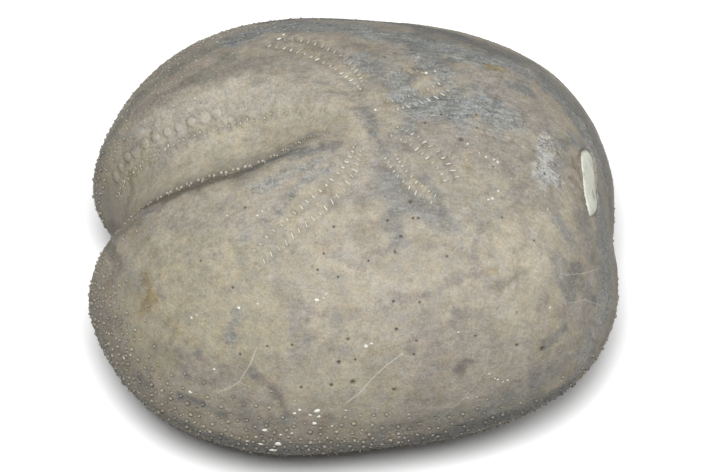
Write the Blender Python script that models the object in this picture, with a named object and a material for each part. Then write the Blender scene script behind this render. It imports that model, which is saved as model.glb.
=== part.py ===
"""Fossil heart urchin: the stone of one whole test, lying on its underside.

Frame: metres, +Z up. +X is the rear, -X the notched front, and the origin is the
middle of the footprint, on the surface that the fossil lies on.

The test grew as one piece, so it is one closed solid. A direction from the middle
of the test gives a point of the smooth form (test_form). Named hollows sink that
form into sunk_form: the front groove, the pore zones, the rear hollow, the vent and
the mouth. The mesh is the Delaunay net of a set of directions, made of lumps, pore
slits, rims and a filler between them, and each direction carries its own lift.
"""
import math
from functools import cache
from itertools import product

import bmesh
import bpy
import numpy as np
from mathutils import Vector, kdtree
from mathutils.geometry import delaunay_2d_cdt, interpolate_bezier

NODE = "urchin_test"

# Smooth form, measured from the middle of the widest level
FRONT = 0.0275                  # reach of the front lobes
REAR = 0.0289                   # reach of the rear
HALF_WIDTH = 0.0261
CROWN = 0.0203                  # height above the widest level
KEEL = 0.0130                   # depth below it, before the underside is worn flat
PLAN_POWER = (2.35, 2.95)       # squareness of the plan, front and rear
SIDE_POWER = (2.0, 2.2)         # squareness of the sides, below and above
SQUARE_BLEND = 0.3              # how softly one power turns into the other
NARROWING = 0.10                # loss of width towards the rear
KEEL_NARROWING = 0.17           # the same, low on the rear flanks
CROWN_LEAN = 0.0009             # the crown leans to the rear
WORN_LEVEL = 0.0123             # depth of the worn resting face
WORN_BLEND = 0.0010
WORN_FLAT = 0.0121              # everything deeper is cut to this plane

# Hollows
APEX_X = 0.0024                 # apical disc, where the groove and the petals start
TURN_DROP = 0.0030              # the groove is measured by its turn about this depth
GROOVE_DEPTH = 0.0039
GROOVE_START, GROOVE_FULL = 2, 34         # degrees of turn from the apex
GROOVE_FADE, GROOVE_END = 78, 116
GROOVE_HALF = (0.0022, 0.0084)  # half width at the apex and at its widest
GROOVE_FLATNESS = 1.2
ZONE_SINK = 0.00020             # the pore zones lie a little low
ZONE_REACH = 0.0011
REAR_HOLLOW = (0.0008, 0.0015, 0.0046)    # depth, level, spread
REAR_BROW = (0.0008, 0.0150, 0.0048)      # height, level, spread
VENT_PLACE = (0.0259, -0.0009, 0.0104)
VENT_HALF = (0.0040, 0.0024)    # half width and half height
VENT_DEPTH = 0.0005
VENT_TILT = 22                  # the rear face leans this far from upright, degrees
MOUTH_PLACE = (-0.0155, 0.0, -0.0110)
MOUTH_HALF = (0.0021, 0.0036)   # half length and half width
MOUTH_BOW = 32.0                # the mouth bends round the lip behind it, per metre
MOUTH_DEPTH = 0.0021
LIP_HEIGHT = 0.0006
LIP_GAP = 0.0030                # from the middle of the mouth back to the lip

# Petals: each pore zone's outer row as a Bezier in plan, on the -Y side and on the +Y
# side, where the sides of the plan count as positive
PORE_ZONES = {
    "front_petal_fore": {
        -1: ((0.0010, 0.0038), (-0.0002, 0.0089), (-0.0060, 0.0122), (-0.0094, 0.0153)),
        1: ((0.0016, 0.0041), (-0.0009, 0.0077), (-0.0039, 0.0106), (-0.0082, 0.0129)),
    },
    "front_petal_aft": {
        -1: ((0.0015, 0.0047), (0.0008, 0.0111), (-0.0057, 0.0141), (-0.0095, 0.0174)),
        1: ((0.0017, 0.0054), (0.0005, 0.0099), (-0.0025, 0.0128), (-0.0078, 0.0143)),
    },
    "rear_petal_fore": {
        -1: ((0.0042, 0.0056), (0.0053, 0.0080), (0.0071, 0.0099), (0.0094, 0.0109)),
        1: ((0.0042, 0.0050), (0.0052, 0.0068), (0.0066, 0.0084), (0.0086, 0.0096)),
    },
    "rear_petal_aft": {
        -1: ((0.0054, 0.0014), (0.0080, 0.0026), (0.0106, 0.0050), (0.0116, 0.0075)),
        1: ((0.0049, 0.0009), (0.0075, 0.0019), (0.0096, 0.0030), (0.0111, 0.0050)),
    },
}
# Across a zone, towards the petal's middle: distance from the outer row, and 1 where a slit lies
SINGLE_ROW = ((-0.0006, 0), (0.0, 1), (0.0006, 0))
NARROW_ROWS = ((-0.0005, 0), (0.0, 1), (0.0005, 0), (0.0010, 1), (0.0015, 0))
WIDE_ROWS = ((-0.0005, 0), (0.0, 1), (0.0007, 0), (0.0014, 1), (0.0019, 0))
ZONE_ROWS = {
    "front_petal_fore": (SINGLE_ROW, -1),
    "front_petal_aft": (SINGLE_ROW, 1),
    "rear_petal_fore": (NARROW_ROWS, -1),
    "rear_petal_aft": (WIDE_ROWS, 1),
}
PORE_STEP = 0.00087             # from slit to slit
PORE_DEPTH = 0.00028
PORE_RIDGE = 0.00012            # the ridges between neighbouring slits

# Groove furniture, in rows at shares of the groove's half width
NODE_SHARE = 0.56               # nodes on each wall
NODE_TURNS = (33, 72)
NODE_RADIUS, NODE_HEIGHT = 0.00055, 0.00020
PAIR_SHARE = 0.39               # pore pairs at the foot of each wall
PAIR_TURNS = (14, 74)
PAIR_RADIUS, PAIR_HEIGHT = 0.00036, 0.00015
GROOVE_STEP = 0.0014

# Lumps: the larger spine bases
LUMP_RADIUS, LUMP_HEIGHT = 0.00055, 0.00024
LUMP_SIDES = 5
LUMP_SPACING = (0.0027, 0.0038)     # on the underside and front, and on the crown
LUMP_CLEAR = 0.0011                 # bare margin round the rows
LUMP_TRIES = 12000
FILLER_SPACING = 0.0021
FILLER_CLEAR = 0.00105              # from any point of the lumps and rows
FILLER_TRIES = 14000
SEED = 1729
FAR = 9.0                           # stands for out of reach

STONE_COLOUR = (0.50, 0.46, 0.39, 1.0)
STONE_ROUGHNESS = 0.72


def clear_scene():
    for item in list(bpy.data.objects):
        bpy.data.objects.remove(item, do_unlink=True)


def unit(vectors):
    return vectors / np.linalg.norm(vectors, axis=-1, keepdims=True)


def ease(low, high, value):
    """0 below low, 1 above high, and a smooth step between."""
    share = np.clip((value - low) / (high - low), 0, 1)
    return share * share * (3 - 2 * share)


def bump(offset, spread):
    return np.exp(-(offset / spread) ** 2)


def dot(first, second):
    return (first * second).sum(axis=-1)


def tree_of(points):
    tree = kdtree.KDTree(len(points))
    for index, point in enumerate(points.tolist()):
        tree.insert(point, index)
    tree.balance()
    return tree


def nearest(tree, points):
    """Each point's distance to the tree's nearest one."""
    return np.array([tree.find(Vector(point))[2] for point in points.tolist()])


# The form

def test_form(directions):
    """Points of the smooth test, one for each direction from its middle."""
    along, across, up = directions.T
    rearward = 0.5 + 0.5 * np.tanh(along / SQUARE_BLEND)
    upward = 0.5 + 0.5 * np.tanh(up / SQUARE_BLEND)
    plan = PLAN_POWER[0] + (PLAN_POWER[1] - PLAN_POWER[0]) * rearward
    side = SIDE_POWER[0] + (SIDE_POWER[1] - SIDE_POWER[0]) * upward
    reach = np.where(along < 0, FRONT, REAR)
    rise = np.where(up > 0, CROWN, KEEL)
    outline = np.abs(along / reach) ** plan + np.abs(across / HALF_WIDTH) ** plan
    radius = (outline ** (side / plan) + np.abs(up / rise) ** side) ** (-1 / side)
    x, y, z = (directions * radius[:, None]).T
    rear_share = np.clip(x / REAR, -1, 1)
    depth_share = np.clip(-z / KEEL, 0, 1)
    narrowing = NARROWING * rear_share + KEEL_NARROWING * depth_share * np.clip(rear_share, 0, 1)
    y = y * (1 - narrowing)
    x = x + CROWN_LEAN * np.clip(z / CROWN, 0, 1) ** 2 * (1 - rear_share ** 2)
    overlap = np.clip(1 - np.abs(-z - WORN_LEVEL) / WORN_BLEND, 0, 1)
    worn = np.minimum(-z, WORN_LEVEL) - overlap ** 2 * WORN_BLEND / 4
    return np.stack([x, y, np.where(z < -WORN_LEVEL / 2, -worn, z)], axis=-1)


def tangents(directions, form):
    """Two unit steps on the sphere of directions, and what the form does along each."""
    pole = np.where(np.abs(directions[:, 2:]) < 0.9, [[0.0, 0.0, 1.0]], [[1.0, 0.0, 0.0]])
    first = unit(np.cross(pole, directions))
    second = np.cross(directions, first)
    step = 1e-3
    slopes = [(form(unit(directions + step * turn)) - form(unit(directions - step * turn))) / (2 * step)
              for turn in (first, second)]
    return first, second, slopes[0], slopes[1]


def outward(directions, form):
    _, _, slope_a, slope_b = tangents(directions, form)
    return unit(np.cross(slope_a, slope_b))


def turn_of(points):
    """Degrees from the apex, over the front, towards the mouth."""
    return np.degrees(np.arctan2(APEX_X - points[:, 0], points[:, 2] + TURN_DROP))


def groove_half(turn):
    """Half the groove's width at a turn from the apex."""
    narrow, wide = GROOVE_HALF
    return narrow + (wide - narrow) * ease(GROOVE_START, GROOVE_FULL, turn)


def groove_sink(points):
    turn = turn_of(points)
    depth = GROOVE_DEPTH * ease(GROOVE_START, GROOVE_FULL, turn) * (1 - ease(GROOVE_FADE, GROOVE_END, turn))
    share = np.minimum(np.abs(points[:, 1]) / groove_half(turn), 1)
    return np.where(turn > 0, depth * (0.5 + 0.5 * np.cos(math.pi * share ** GROOVE_FLATNESS)), 0)


def rear_sink(points):
    """The shallow channel down the rear face, less the brow over the vent."""
    x, y, z = points.T
    depth, level, spread = REAR_HOLLOW
    height, brow_level, brow_spread = REAR_BROW
    hollow = depth * bump(z - level, spread * 1.4) * bump(y, spread)
    brow = height * bump(z - brow_level, brow_spread) * bump(y, brow_spread * 1.6)
    return np.where(x > 0, ease(0, REAR / 2, x) * (hollow - brow), 0)


@cache
def aimed_at(place):
    """The direction of one place, as a set of one."""
    return unit(np.array([place]))


@cache
def vent_middle():
    return test_form(aimed_at(VENT_PLACE))[0]


def vent_share(points):
    """1 at the vent's rim, less inside it."""
    lean = math.radians(VENT_TILT)
    up_face = np.array([-math.sin(lean), 0, math.cos(lean)])
    offset = points - vent_middle()
    share = np.hypot(offset[:, 1] / VENT_HALF[0], offset @ up_face / VENT_HALF[1])
    return np.where(points[:, 0] > 0, share, FAR)


def vent_sink(points):
    return VENT_DEPTH * (1 - ease(0.80, 1.08, vent_share(points)))


def behind_mouth(points):
    """Distance to the rear of the bowed line through the mouth's middle."""
    return points[:, 0] - MOUTH_PLACE[0] - MOUTH_BOW * points[:, 1] ** 2


def mouth_share(points):
    """1 at the mouth's rim, less inside it."""
    share = np.hypot(behind_mouth(points) / MOUTH_HALF[0], points[:, 1] / MOUTH_HALF[1])
    return np.where(points[:, 2] < 0, share, FAR)


def mouth_sink(points):
    pit = MOUTH_DEPTH * (1 - ease(0.25, 1.05, mouth_share(points)))
    lip = LIP_HEIGHT * bump(behind_mouth(points) - LIP_GAP, LIP_GAP / 2)
    lip = lip * bump(points[:, 1], MOUTH_HALF[1] * 0.8)
    return pit - np.where(points[:, 2] < 0, lip, 0)


def zone_sink(points):
    """The pore zones lie in a faint trough."""
    gaps = nearest(pore_tree(), points)
    return ZONE_SINK * (1 - ease(ZONE_REACH / 3, ZONE_REACH, gaps))


def sunk_form(directions):
    points = test_form(directions)
    hollows = (groove_sink, rear_sink, vent_sink, mouth_sink, zone_sink)
    depth = sum(hollow(points) for hollow in hollows)
    return points - outward(directions, test_form) * depth[:, None]


# Places on the form

def above(plan):
    """Directions whose points lie over the plan positions (x, y), on the crown."""
    aim = np.column_stack([plan, np.full(len(plan), CROWN)])
    for _ in range(40):
        points = test_form(unit(aim))
        aim[:, :2] += plan - points[:, :2]
        aim[:, 2] = points[:, 2]
    return unit(aim)


def beside_groove(turns, share):
    """Directions at these turns from the apex, at one share of the groove's half width."""
    angles = np.radians(turns)
    side = share * groove_half(turns)
    radius = np.full(len(angles), CROWN)
    for _ in range(20):
        x, z = APEX_X - radius * np.sin(angles), radius * np.cos(angles) - TURN_DROP
        aim = np.column_stack([x, side, z])
        points = test_form(unit(aim))
        radius = np.hypot(points[:, 0] - APEX_X, points[:, 2] + TURN_DROP)
    return unit(aim)


def moved(directions, steps):
    """The directions reached by small steps along the surface, given as vectors in space."""
    first, second, slope_a, slope_b = tangents(directions, sunk_form)
    aa, ab, bb = dot(slope_a, slope_a), dot(slope_a, slope_b), dot(slope_b, slope_b)
    step_a, step_b = dot(slope_a, steps), dot(slope_b, steps)
    spread = aa * bb - ab * ab
    share_a = (bb * step_a - ab * step_b) / spread
    share_b = (aa * step_b - ab * step_a) / spread
    return unit(directions + share_a[:, None] * first + share_b[:, None] * second)


def zone_line(name, side):
    """Plan positions of a zone's outer row, two a pore step, and the way to its petal's middle."""
    start, start_pull, end_pull, end = [Vector((x, y * side, 0)) for x, y in PORE_ZONES[name][side]]
    fine = np.array(interpolate_bezier(start, start_pull, end_pull, end, 200))[:, :2]
    lengths = np.concatenate([[0], np.cumsum(np.linalg.norm(np.diff(fine, axis=0), axis=1))])
    stops = np.arange(0, lengths[-1], PORE_STEP / 2)
    spots = np.column_stack([np.interp(stops, lengths, fine[:, axis]) for axis in (0, 1)])
    heading = unit(np.gradient(spots, axis=0))
    inward = np.column_stack([-heading[:, 1], heading[:, 0]]) * ZONE_ROWS[name][1] * side
    return spots, inward


@cache
def pore_tree():
    """The slits' places on the smooth form, for the distance to the nearest one."""
    rows = []
    for name, side in product(PORE_ZONES, (-1, 1)):
        spots, inward = zone_line(name, side)
        rows += [spots + inward * reach for reach, is_slit in ZONE_ROWS[name][0] if is_slit]
    return tree_of(test_form(above(np.concatenate(rows))))


# Sets of directions, each with the lift of its points

def pore_zone(name, side):
    """Slits across the zone's rows, with ridges between them."""
    spots, inward = zone_line(name, side)
    is_pore_step = np.arange(len(spots)) % 2 == 0
    places, lifts = [], []
    for reach, is_slit in ZONE_ROWS[name][0]:
        places.append(above(spots + inward * reach))
        lifts.append(np.where(is_pore_step, -PORE_DEPTH, PORE_RIDGE) * is_slit)
    return np.concatenate(places), np.concatenate(lifts)


def ringed(centres, radius, height, sides):
    """A lump at each direction: its tip, and a ring round its foot."""
    first, _, slope, _ = tangents(centres, sunk_form)
    normal = outward(centres, sunk_form)
    slope = unit(slope)
    other = np.cross(normal, slope)
    places, lifts = [centres], [np.full(len(centres), height)]
    for corner in range(sides):
        angle = math.tau * corner / sides
        places.append(moved(centres, radius * (math.cos(angle) * slope + math.sin(angle) * other)))
        lifts.append(np.zeros(len(centres)))
    return np.concatenate(places), np.concatenate(lifts)


def groove_row(share, turns, radius, height):
    """Knobs along the groove, one a groove step."""
    fine = np.linspace(turns[0], turns[1], 200)
    points = test_form(beside_groove(fine, share))
    lengths = np.concatenate([[0], np.cumsum(np.linalg.norm(np.diff(points, axis=0), axis=1))])
    stops = np.arange(0, lengths[-1], GROOVE_STEP)
    return ringed(beside_groove(np.interp(stops, lengths, fine), share), radius, height, 6)


def rim_rings(share_of, centre, shares, sides):
    """Rings round a hollow, where its share has the given values."""
    first, second, _, _ = tangents(centre, test_form)
    places = [centre]
    for share in shares:
        angles = np.linspace(0, math.tau, sides, endpoint=False)
        turn = np.cos(angles)[:, None] * first + np.sin(angles)[:, None] * second
        reach = np.full(sides, 0.1)
        for _ in range(30):
            found = share_of(test_form(unit(centre + reach[:, None] * turn)))
            reach = reach * np.clip(share / np.maximum(found, 0.05), 0.5, 1.6)
        places.append(unit(centre + reach[:, None] * turn))
    places = np.concatenate(places)
    return places, np.zeros(len(places))


def scattered(tries, spacing, clear, blockers, seed):
    """Directions spread at random, no two points nearer than the spacing there."""
    directions = unit(np.random.default_rng(seed).normal(size=(tries, 3)))
    directions = directions[nearest(tree_of(blockers), sunk_form(directions)) > clear]
    points = sunk_form(directions)
    gaps = spacing(points)
    kept = [0]
    for index in range(1, len(points)):
        if np.linalg.norm(points[kept] - points[index], axis=1).min() > gaps[index]:
            kept.append(index)
    return directions[kept]


def lump_spacing(points):
    """Closer below and in front, wider on the crown, and none on the worn face."""
    x, y, z = points.T
    crown = ease(0, 0.012, z + 0.25 * x)
    spacing = LUMP_SPACING[0] + (LUMP_SPACING[1] - LUMP_SPACING[0]) * crown
    bare = (groove_sink(points) > GROOVE_DEPTH / 4) | (vent_share(points) < 1.4) | (mouth_share(points) < 1.5)
    worn = z < -WORN_FLAT + WORN_BLEND / 5
    return np.where(bare | worn, FAR, spacing)


def filler_spacing(points):
    return np.full(len(points), FILLER_SPACING)


def joined(sets):
    return [np.concatenate(column) for column in zip(*sets)]


def net_places():
    """All directions of the net, with their lifts."""
    sets = [pore_zone(name, side) for name, side in product(PORE_ZONES, (-1, 1))]
    for side in (-1, 1):
        sets.append(groove_row(side * NODE_SHARE, NODE_TURNS, NODE_RADIUS, NODE_HEIGHT))
        sets.append(groove_row(side * PAIR_SHARE, PAIR_TURNS, PAIR_RADIUS, PAIR_HEIGHT))
    sets.append(rim_rings(vent_share, aimed_at(VENT_PLACE), (0.55, 0.80, 1.08), 16))
    sets.append(rim_rings(mouth_share, aimed_at(MOUTH_PLACE), (0.3, 0.65, 1.05), 14))
    rows = sunk_form(joined(sets)[0])
    lumps = scattered(LUMP_TRIES, lump_spacing, LUMP_CLEAR, rows, SEED)
    sets.append(ringed(lumps, LUMP_RADIUS, LUMP_HEIGHT, LUMP_SIDES))
    taken = sunk_form(joined(sets)[0])
    filler = scattered(FILLER_TRIES, filler_spacing, FILLER_CLEAR, taken, SEED + 1)
    sets.append((filler, np.zeros(len(filler))))
    return joined(sets)


# The solid

def net_points(directions, lifts):
    points = sunk_form(directions) + outward(directions, sunk_form) * lifts[:, None]
    points[:, 2] = np.maximum(points[:, 2], -WORN_FLAT)
    return points


def net_faces(directions):
    """Delaunay faces on the sphere: flat ones, seen from its lowest direction."""
    flat = directions[:, :2] / (1 + directions[:, 2:])
    result = delaunay_2d_cdt([Vector(spot) for spot in flat.tolist()], [], [], 0, 1e-9)
    origins = result[3]
    return [[origins[corner][0] for corner in face] for face in result[2]]


def close_underside(mesh, point):
    """Joins the open edge round the lowest direction to one point there."""
    lowest = mesh.verts.new(point)
    for edge in [edge for edge in mesh.edges if edge.is_boundary]:
        mesh.faces.new((edge.verts[0], edge.verts[1], lowest))


def stone():
    material = bpy.data.materials.new("fossil_stone")
    material.use_nodes = True
    shader = material.node_tree.nodes["Principled BSDF"]
    shader.inputs["Base Color"].default_value = STONE_COLOUR
    shader.inputs["Roughness"].default_value = STONE_ROUGHNESS
    shader.inputs["Metallic"].default_value = 0.0
    return material


def urchin():
    directions, lifts = net_places()
    points = net_points(directions, lifts)
    middle = [(points[:, axis].min() + points[:, axis].max()) / 2 for axis in (0, 1)]
    points -= np.array([middle[0], middle[1], -WORN_FLAT])
    solid = bmesh.new()
    corners = [solid.verts.new(point) for point in points.tolist()]
    for face in net_faces(directions):
        solid.faces.new([corners[index] for index in face])
    close_underside(solid, (-middle[0], -middle[1], 0.0))
    bmesh.ops.recalc_face_normals(solid, faces=solid.faces)
    mesh = bpy.data.meshes.new(NODE)
    solid.to_mesh(mesh)
    solid.free()
    mesh.shade_smooth()
    item = bpy.data.objects.new(NODE, mesh)
    item.data.materials.append(stone())
    bpy.context.scene.collection.objects.link(item)
    return item


clear_scene()
urchin()
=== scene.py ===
"""Looks of the fossil heart urchin.

One skin of stone stands for the plain solid. It repeats the solid's own form and adds
the relief of the real thing: slots for the pores, seats of spine bases, pits, cracks
and a fine grain, all in one closed net. Small closed domes and lenses lie on it: spine
bases, granules, and the chalk that fills the pores and the vent. Every point carries
the stone's tint there, how gritty it is, and how chalky and how dark. Some of the
chalk is a painted highlight on the groove's pillows, and some of the dark is painted
shade in the slots and round the feet of pillows and spine bases; some tint strokes
paint shade too.

Metres, +Z up, in the frame of the solid. -X is the notched front, and the camera
looks along +Y from above. Places on the test are a longitude, from the rear towards
the far side, and a latitude above the widest level, both in degrees.
"""
import math
from functools import cache
from itertools import product

import bmesh
import bpy
import numpy as np
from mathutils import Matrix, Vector, kdtree, noise
from mathutils.geometry import delaunay_2d_cdt, interpolate_bezier


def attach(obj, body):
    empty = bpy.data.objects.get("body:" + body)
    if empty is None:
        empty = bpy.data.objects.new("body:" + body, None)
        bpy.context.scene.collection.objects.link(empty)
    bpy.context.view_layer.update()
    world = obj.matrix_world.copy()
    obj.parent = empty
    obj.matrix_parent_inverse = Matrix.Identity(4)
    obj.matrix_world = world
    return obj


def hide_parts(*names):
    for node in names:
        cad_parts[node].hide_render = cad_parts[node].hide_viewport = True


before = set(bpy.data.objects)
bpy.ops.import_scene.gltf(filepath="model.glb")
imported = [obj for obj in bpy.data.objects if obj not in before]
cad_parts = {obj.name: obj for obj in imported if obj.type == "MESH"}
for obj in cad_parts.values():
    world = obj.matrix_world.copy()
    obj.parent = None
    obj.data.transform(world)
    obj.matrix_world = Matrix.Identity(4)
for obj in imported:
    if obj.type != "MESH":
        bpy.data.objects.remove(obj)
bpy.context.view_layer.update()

NODE = "urchin_test"
SEED = 1729
FAR = 9.0
MM = 0.001

# The form of the solid, measured from the middle of its widest level
MIDDLE = (-0.00098, 0.0, 0.0121)    # where that middle is in the solid's frame
FRONT, REAR, HALF_WIDTH = 0.0275, 0.0289, 0.0261
CROWN, KEEL = 0.0203, 0.0130
PLAN_POWER = (2.35, 2.95)
SIDE_POWER = (2.0, 2.2)
SQUARE_BLEND = 0.3
NARROWING, KEEL_NARROWING = 0.10, 0.17
CROWN_LEAN = 0.0009
WORN_LEVEL, WORN_BLEND, WORN_FLAT = 0.0123, 0.0010, 0.0121
APEX_X = 0.0024
TURN_DROP = 0.0030
GROOVE_DEPTH = 0.0039
GROOVE_START, GROOVE_FULL = 2, 34
GROOVE_FADE, GROOVE_END = 78, 116
GROOVE_HALF = (0.0022, 0.0084)
GROOVE_FLATNESS = 1.2
ZONE_SINK, ZONE_REACH = 0.00020, 0.0011
REAR_HOLLOW = (0.0008, 0.0015, 0.0046)
REAR_BROW = (0.0008, 0.0150, 0.0048)
VENT_PLACE = (0.0259, -0.0009, 0.0104)
VENT_HALF = (0.0040, 0.0024)
VENT_DEPTH = 0.0005
VENT_TILT = 22
VENT_EDGE = (1.0, 1.10)             # the hollow's wall, in shares of the outline
# The filled vent isn't a true oval: turns from +Y towards its top, and the share there
VENT_OUTLINE = ((0, 1.17), (17, 1.21), (35, 1.13), (52, 1.12), (67, 0.96), (94, 0.83),
                (115, 0.87), (152, 1.02), (166, 1.11), (198, 0.84), (244, 0.59),
                (271, 0.42), (310, 0.43), (335, 0.60), (354, 1.08), (360, 1.17))
MOUTH_PLACE = (-0.0155, 0.0, -0.0110)
MOUTH_HALF = (0.0021, 0.0036)
MOUTH_BOW = 32.0
MOUTH_DEPTH = 0.0021
LIP_HEIGHT, LIP_GAP = 0.0006, 0.0030

# The ground under the fine relief also waves a little: wavelength and height
SWELL = ((0.0090, 0.00012), (0.0040, 0.00007), (0.0016, 0.000035), (0.0007, 0.000016))
GRAIN_HEIGHT = 0.000010

# Petals: each pore zone's outer row as a Bezier in plan, on the -Y side and on the +Y
# side, where the sides of the plan count as positive
PORE_ZONES = {
    "front_petal_fore": {
        -1: ((0.0010, 0.0038), (-0.0002, 0.0089), (-0.0060, 0.0122), (-0.0094, 0.0153)),
        1: ((0.0016, 0.0041), (-0.0009, 0.0077), (-0.0039, 0.0106), (-0.0082, 0.0129)),
    },
    "front_petal_aft": {
        -1: ((0.0015, 0.0047), (0.0008, 0.0111), (-0.0057, 0.0141), (-0.0095, 0.0174)),
        1: ((0.0017, 0.0054), (0.0005, 0.0099), (-0.0025, 0.0128), (-0.0078, 0.0143)),
    },
    "rear_petal_fore": {
        -1: ((0.0042, 0.0056), (0.0053, 0.0080), (0.0071, 0.0099), (0.0094, 0.0109)),
        1: ((0.0042, 0.0050), (0.0052, 0.0068), (0.0066, 0.0084), (0.0086, 0.0096)),
    },
    "rear_petal_aft": {
        -1: ((0.0054, 0.0014), (0.0080, 0.0026), (0.0106, 0.0050), (0.0116, 0.0075)),
        1: ((0.0049, 0.0009), (0.0075, 0.0019), (0.0096, 0.0030), (0.0111, 0.0050)),
    },
}
# Rows of slits in a zone: each row's distance in from the outer one, half a slit's
# length, and how far it leans from square, in degrees. Then which way the petal's middle
# is, and half a slit's width.
ZONE_ROWS = {
    "front_petal_fore": (((0.0, 0.00033, -4),), -1, 0.000125),
    "front_petal_aft": (((0.0, 0.00047, -20),), 1, 0.000088),
    "rear_petal_fore": (((0.0, 0.00034, -26), (0.00105, 0.00031, 2)), -1, 0.000090),
    "rear_petal_aft": (((0.0, 0.00039, -16), (0.0014, 0.00034, 4)), 1, 0.000092),
}
FADED_ZONE, FADED_SHARE = ("rear_petal_fore", 1), 0.3
PORE_STEP = (0.00055, 0.00089)      # from slit to slit, by the apex and further out
PORE_STEP_REACH = 0.0035
SLIT_RIM = 0.00010
SLIT_DEPTH, SLIT_RISE = 0.00006, 0.00001     # depth of its slot, and what its filling stands proud
SLIT_SPREAD = 0.00007               # how far a slit strays from its row
SLIT_CHALK = (0.30, 0.80)           # the least and the most that a slit is filled
SLIT_LOOK = (0.00002, 0.12)         # height of its rim, and the painted shade in its slot (half as much on the rim)
SLIT_LEAN, SLIT_STRETCH = 0.18, (0.7, 1.2)      # how uneven its lie and its length are
SLIT_SEEDS = (1, 2, 3, 4, 6)        # of its place (two), its lie, its length and its width
SLOT_WIDENING = (0.8, 1.2)          # how uneven every slot's width is

# The groove, in shares of its half width: pairs of pores at the foot of each wall, and
# low pillows with a pale rim higher up. A pair is three dots: steps along and up the
# wall, then half length and half width.
PAIR_SHARE, PAIR_TURNS = 0.39, (12, 76)
PAIR_GROWTH = (14, 34)              # turns where the pairs start to grow and are full
PAIR_STEP = 0.00145
PAIR_DOTS = {     # on the -Y wall, where they stand proud, and on the +Y wall
    -1: ((-0.00036, 0.0, 0.00030, 0.000205), (0.00024, 0.00040, 0.00028, 0.000200),
         (0.00052, 0.00170, 0.00018, 0.000140)),
    1: ((-0.00034, 0.0, 0.00024, 0.000115), (0.00030, -0.00018, 0.00022, 0.000115),
        (0.00036, -0.00062, 0.00010, 0.000080)),
}
PAIR_HEIGHT = {-1: 0.00021, 1: 0.00005}
PAIR_CHALK = {-1: (0.04, 0.32), 1: (0.08, 0.40)}
# The same as for the slits, so the pores get painted shade round them too
PAIR_LOOK, PAIR_LEAN, PAIR_STRETCH = (0.0, 0.35), 0.3, (0.7, 1.25)
PAIR_SEEDS = (51, 52, 53, 54, 55)
PILLOW_SHARE, PILLOW_TURNS = 0.52, (26, 72)
PILLOW_RISE = (30, 46)              # turns where the pillows start to show and are full
PILLOW_STEP, PILLOW_STRAY = 0.00165, 0.00018
PILLOW_RADIUS, PILLOW_HEIGHT = 0.00064, 0.00016
# Rings: reach in radii, height and darkness in shares, and number of points. The darkness is painted shade
# round each pillow's foot.
PILLOW_RINGS = ((0.45, 0.94, 0, 6), (0.8, 0.62, 0, 9),
                (1.0, 0.0, 0.5, 10), (1.25, -0.15, 0.15, 10))
PILLOW_HIGHLIGHT_SIDE = (0.8, -0.5, -0.2)      # the way its painted highlight, a pale crescent on its rim, faces
PILLOW_GLOW = 0.16                  # how chalky its top is, against the rim

# Spine bases stand close below and in front. On the worn crown only dark dots are left.
BASE_TRIES = 60000
BASE_SPACING = (0.00084, 0.0018)
BASE_RADIUS = (0.00021, 0.00018)
BASE_HEIGHT = (0.00018, 0.00011)    # low down, and elsewhere
BASE_CLEAR = 0.00060
LOW_BAND = (-0.0010, 0.0080)        # heights below which they're all tall, and above which none is
LOW_LEAN = 0.12                     # how the band rises towards the front
BASE_LIMIT = (0.10, 0.60)           # roughness where a base may stand, and where it always does
# Rings round each base: reach in radii, depth and darkness in shares, and number of points. The darkness
# is painted shade round the base's foot.
SEAT_RINGS = ((1.3, 1.0, 0.25, 6), (2.0, 0.0, 0.0, 8))
SEAT_DEPTH = 0.00004
DOT_RADIUS = (0.00011, 0.00024)
DOT_DARKNESS, DOT_POWER = 0.34, 1.3
DOT_RINGS = ((0.6, 0.8, 0.85, 4), (1.1, 0.1, 0.5, 6), (1.9, 0.0, 0.0, 7))
GRANULE_TRIES = 120000
GRANULE_SPACING = (0.00038, 0.0010)
GRANULE_RADIUS, GRANULE_HEIGHT = 0.00010, 0.00006
GRANULE_CLEAR = 0.00028
GRANULE_PATCH = (0.0030, 0.25)      # wavelength of the bare patches, and the noise where they start
FILLER_TRIES = 400000
FILLER_SPACING = 0.00030
FILLER_CLEAR = 0.00018
# Roughness outside the low band: how strong it is, the distances towards its side of the
# test where it starts and is full, and the same for a second way
ROUGH_FAR_FRONT = (1.0, (0.0105, 0.0195), (-0.004, 0.006))
ROUGH_NEAR_FRONT = (0.7, (0.0185, 0.0245))
ROUGH_FAR_EDGE = (0.7, (0.010, 0.020), (-0.002, 0.010))
BARE_VENT, BARE_MOUTH = 1.25, 1.2   # bare margins, in shares of the hollows

# Stone tints: red, green, blue and grit
SWATCHES = {
    "beige": (0.284, 0.256, 0.203, 0.10),
    "straw": (0.285, 0.258, 0.183, 0.10),
    "sand": (0.335, 0.303, 0.232, 0.05),
    "pale": (0.325, 0.300, 0.250, 0.35),
    "pink": (0.272, 0.243, 0.210, 0.35),
    "mauve": (0.200, 0.177, 0.153, 0.45),
    "plum": (0.146, 0.124, 0.112, 0.40),
    "slate": (0.124, 0.125, 0.117, 0.45),
    "blue": (0.196, 0.205, 0.198, 1.05),
    "grey": (0.172, 0.172, 0.160, 0.60),
    "ash": (0.245, 0.245, 0.232, 1.00),
    "white": (0.345, 0.342, 0.318, 1.50),
    "olive": (0.176, 0.176, 0.142, 0.50),
    "ochre": (0.222, 0.180, 0.098, 0.50),
    "brown": (0.105, 0.088, 0.062, 0.40),
    "rust": (0.190, 0.136, 0.088, 0.40),
}
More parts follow.
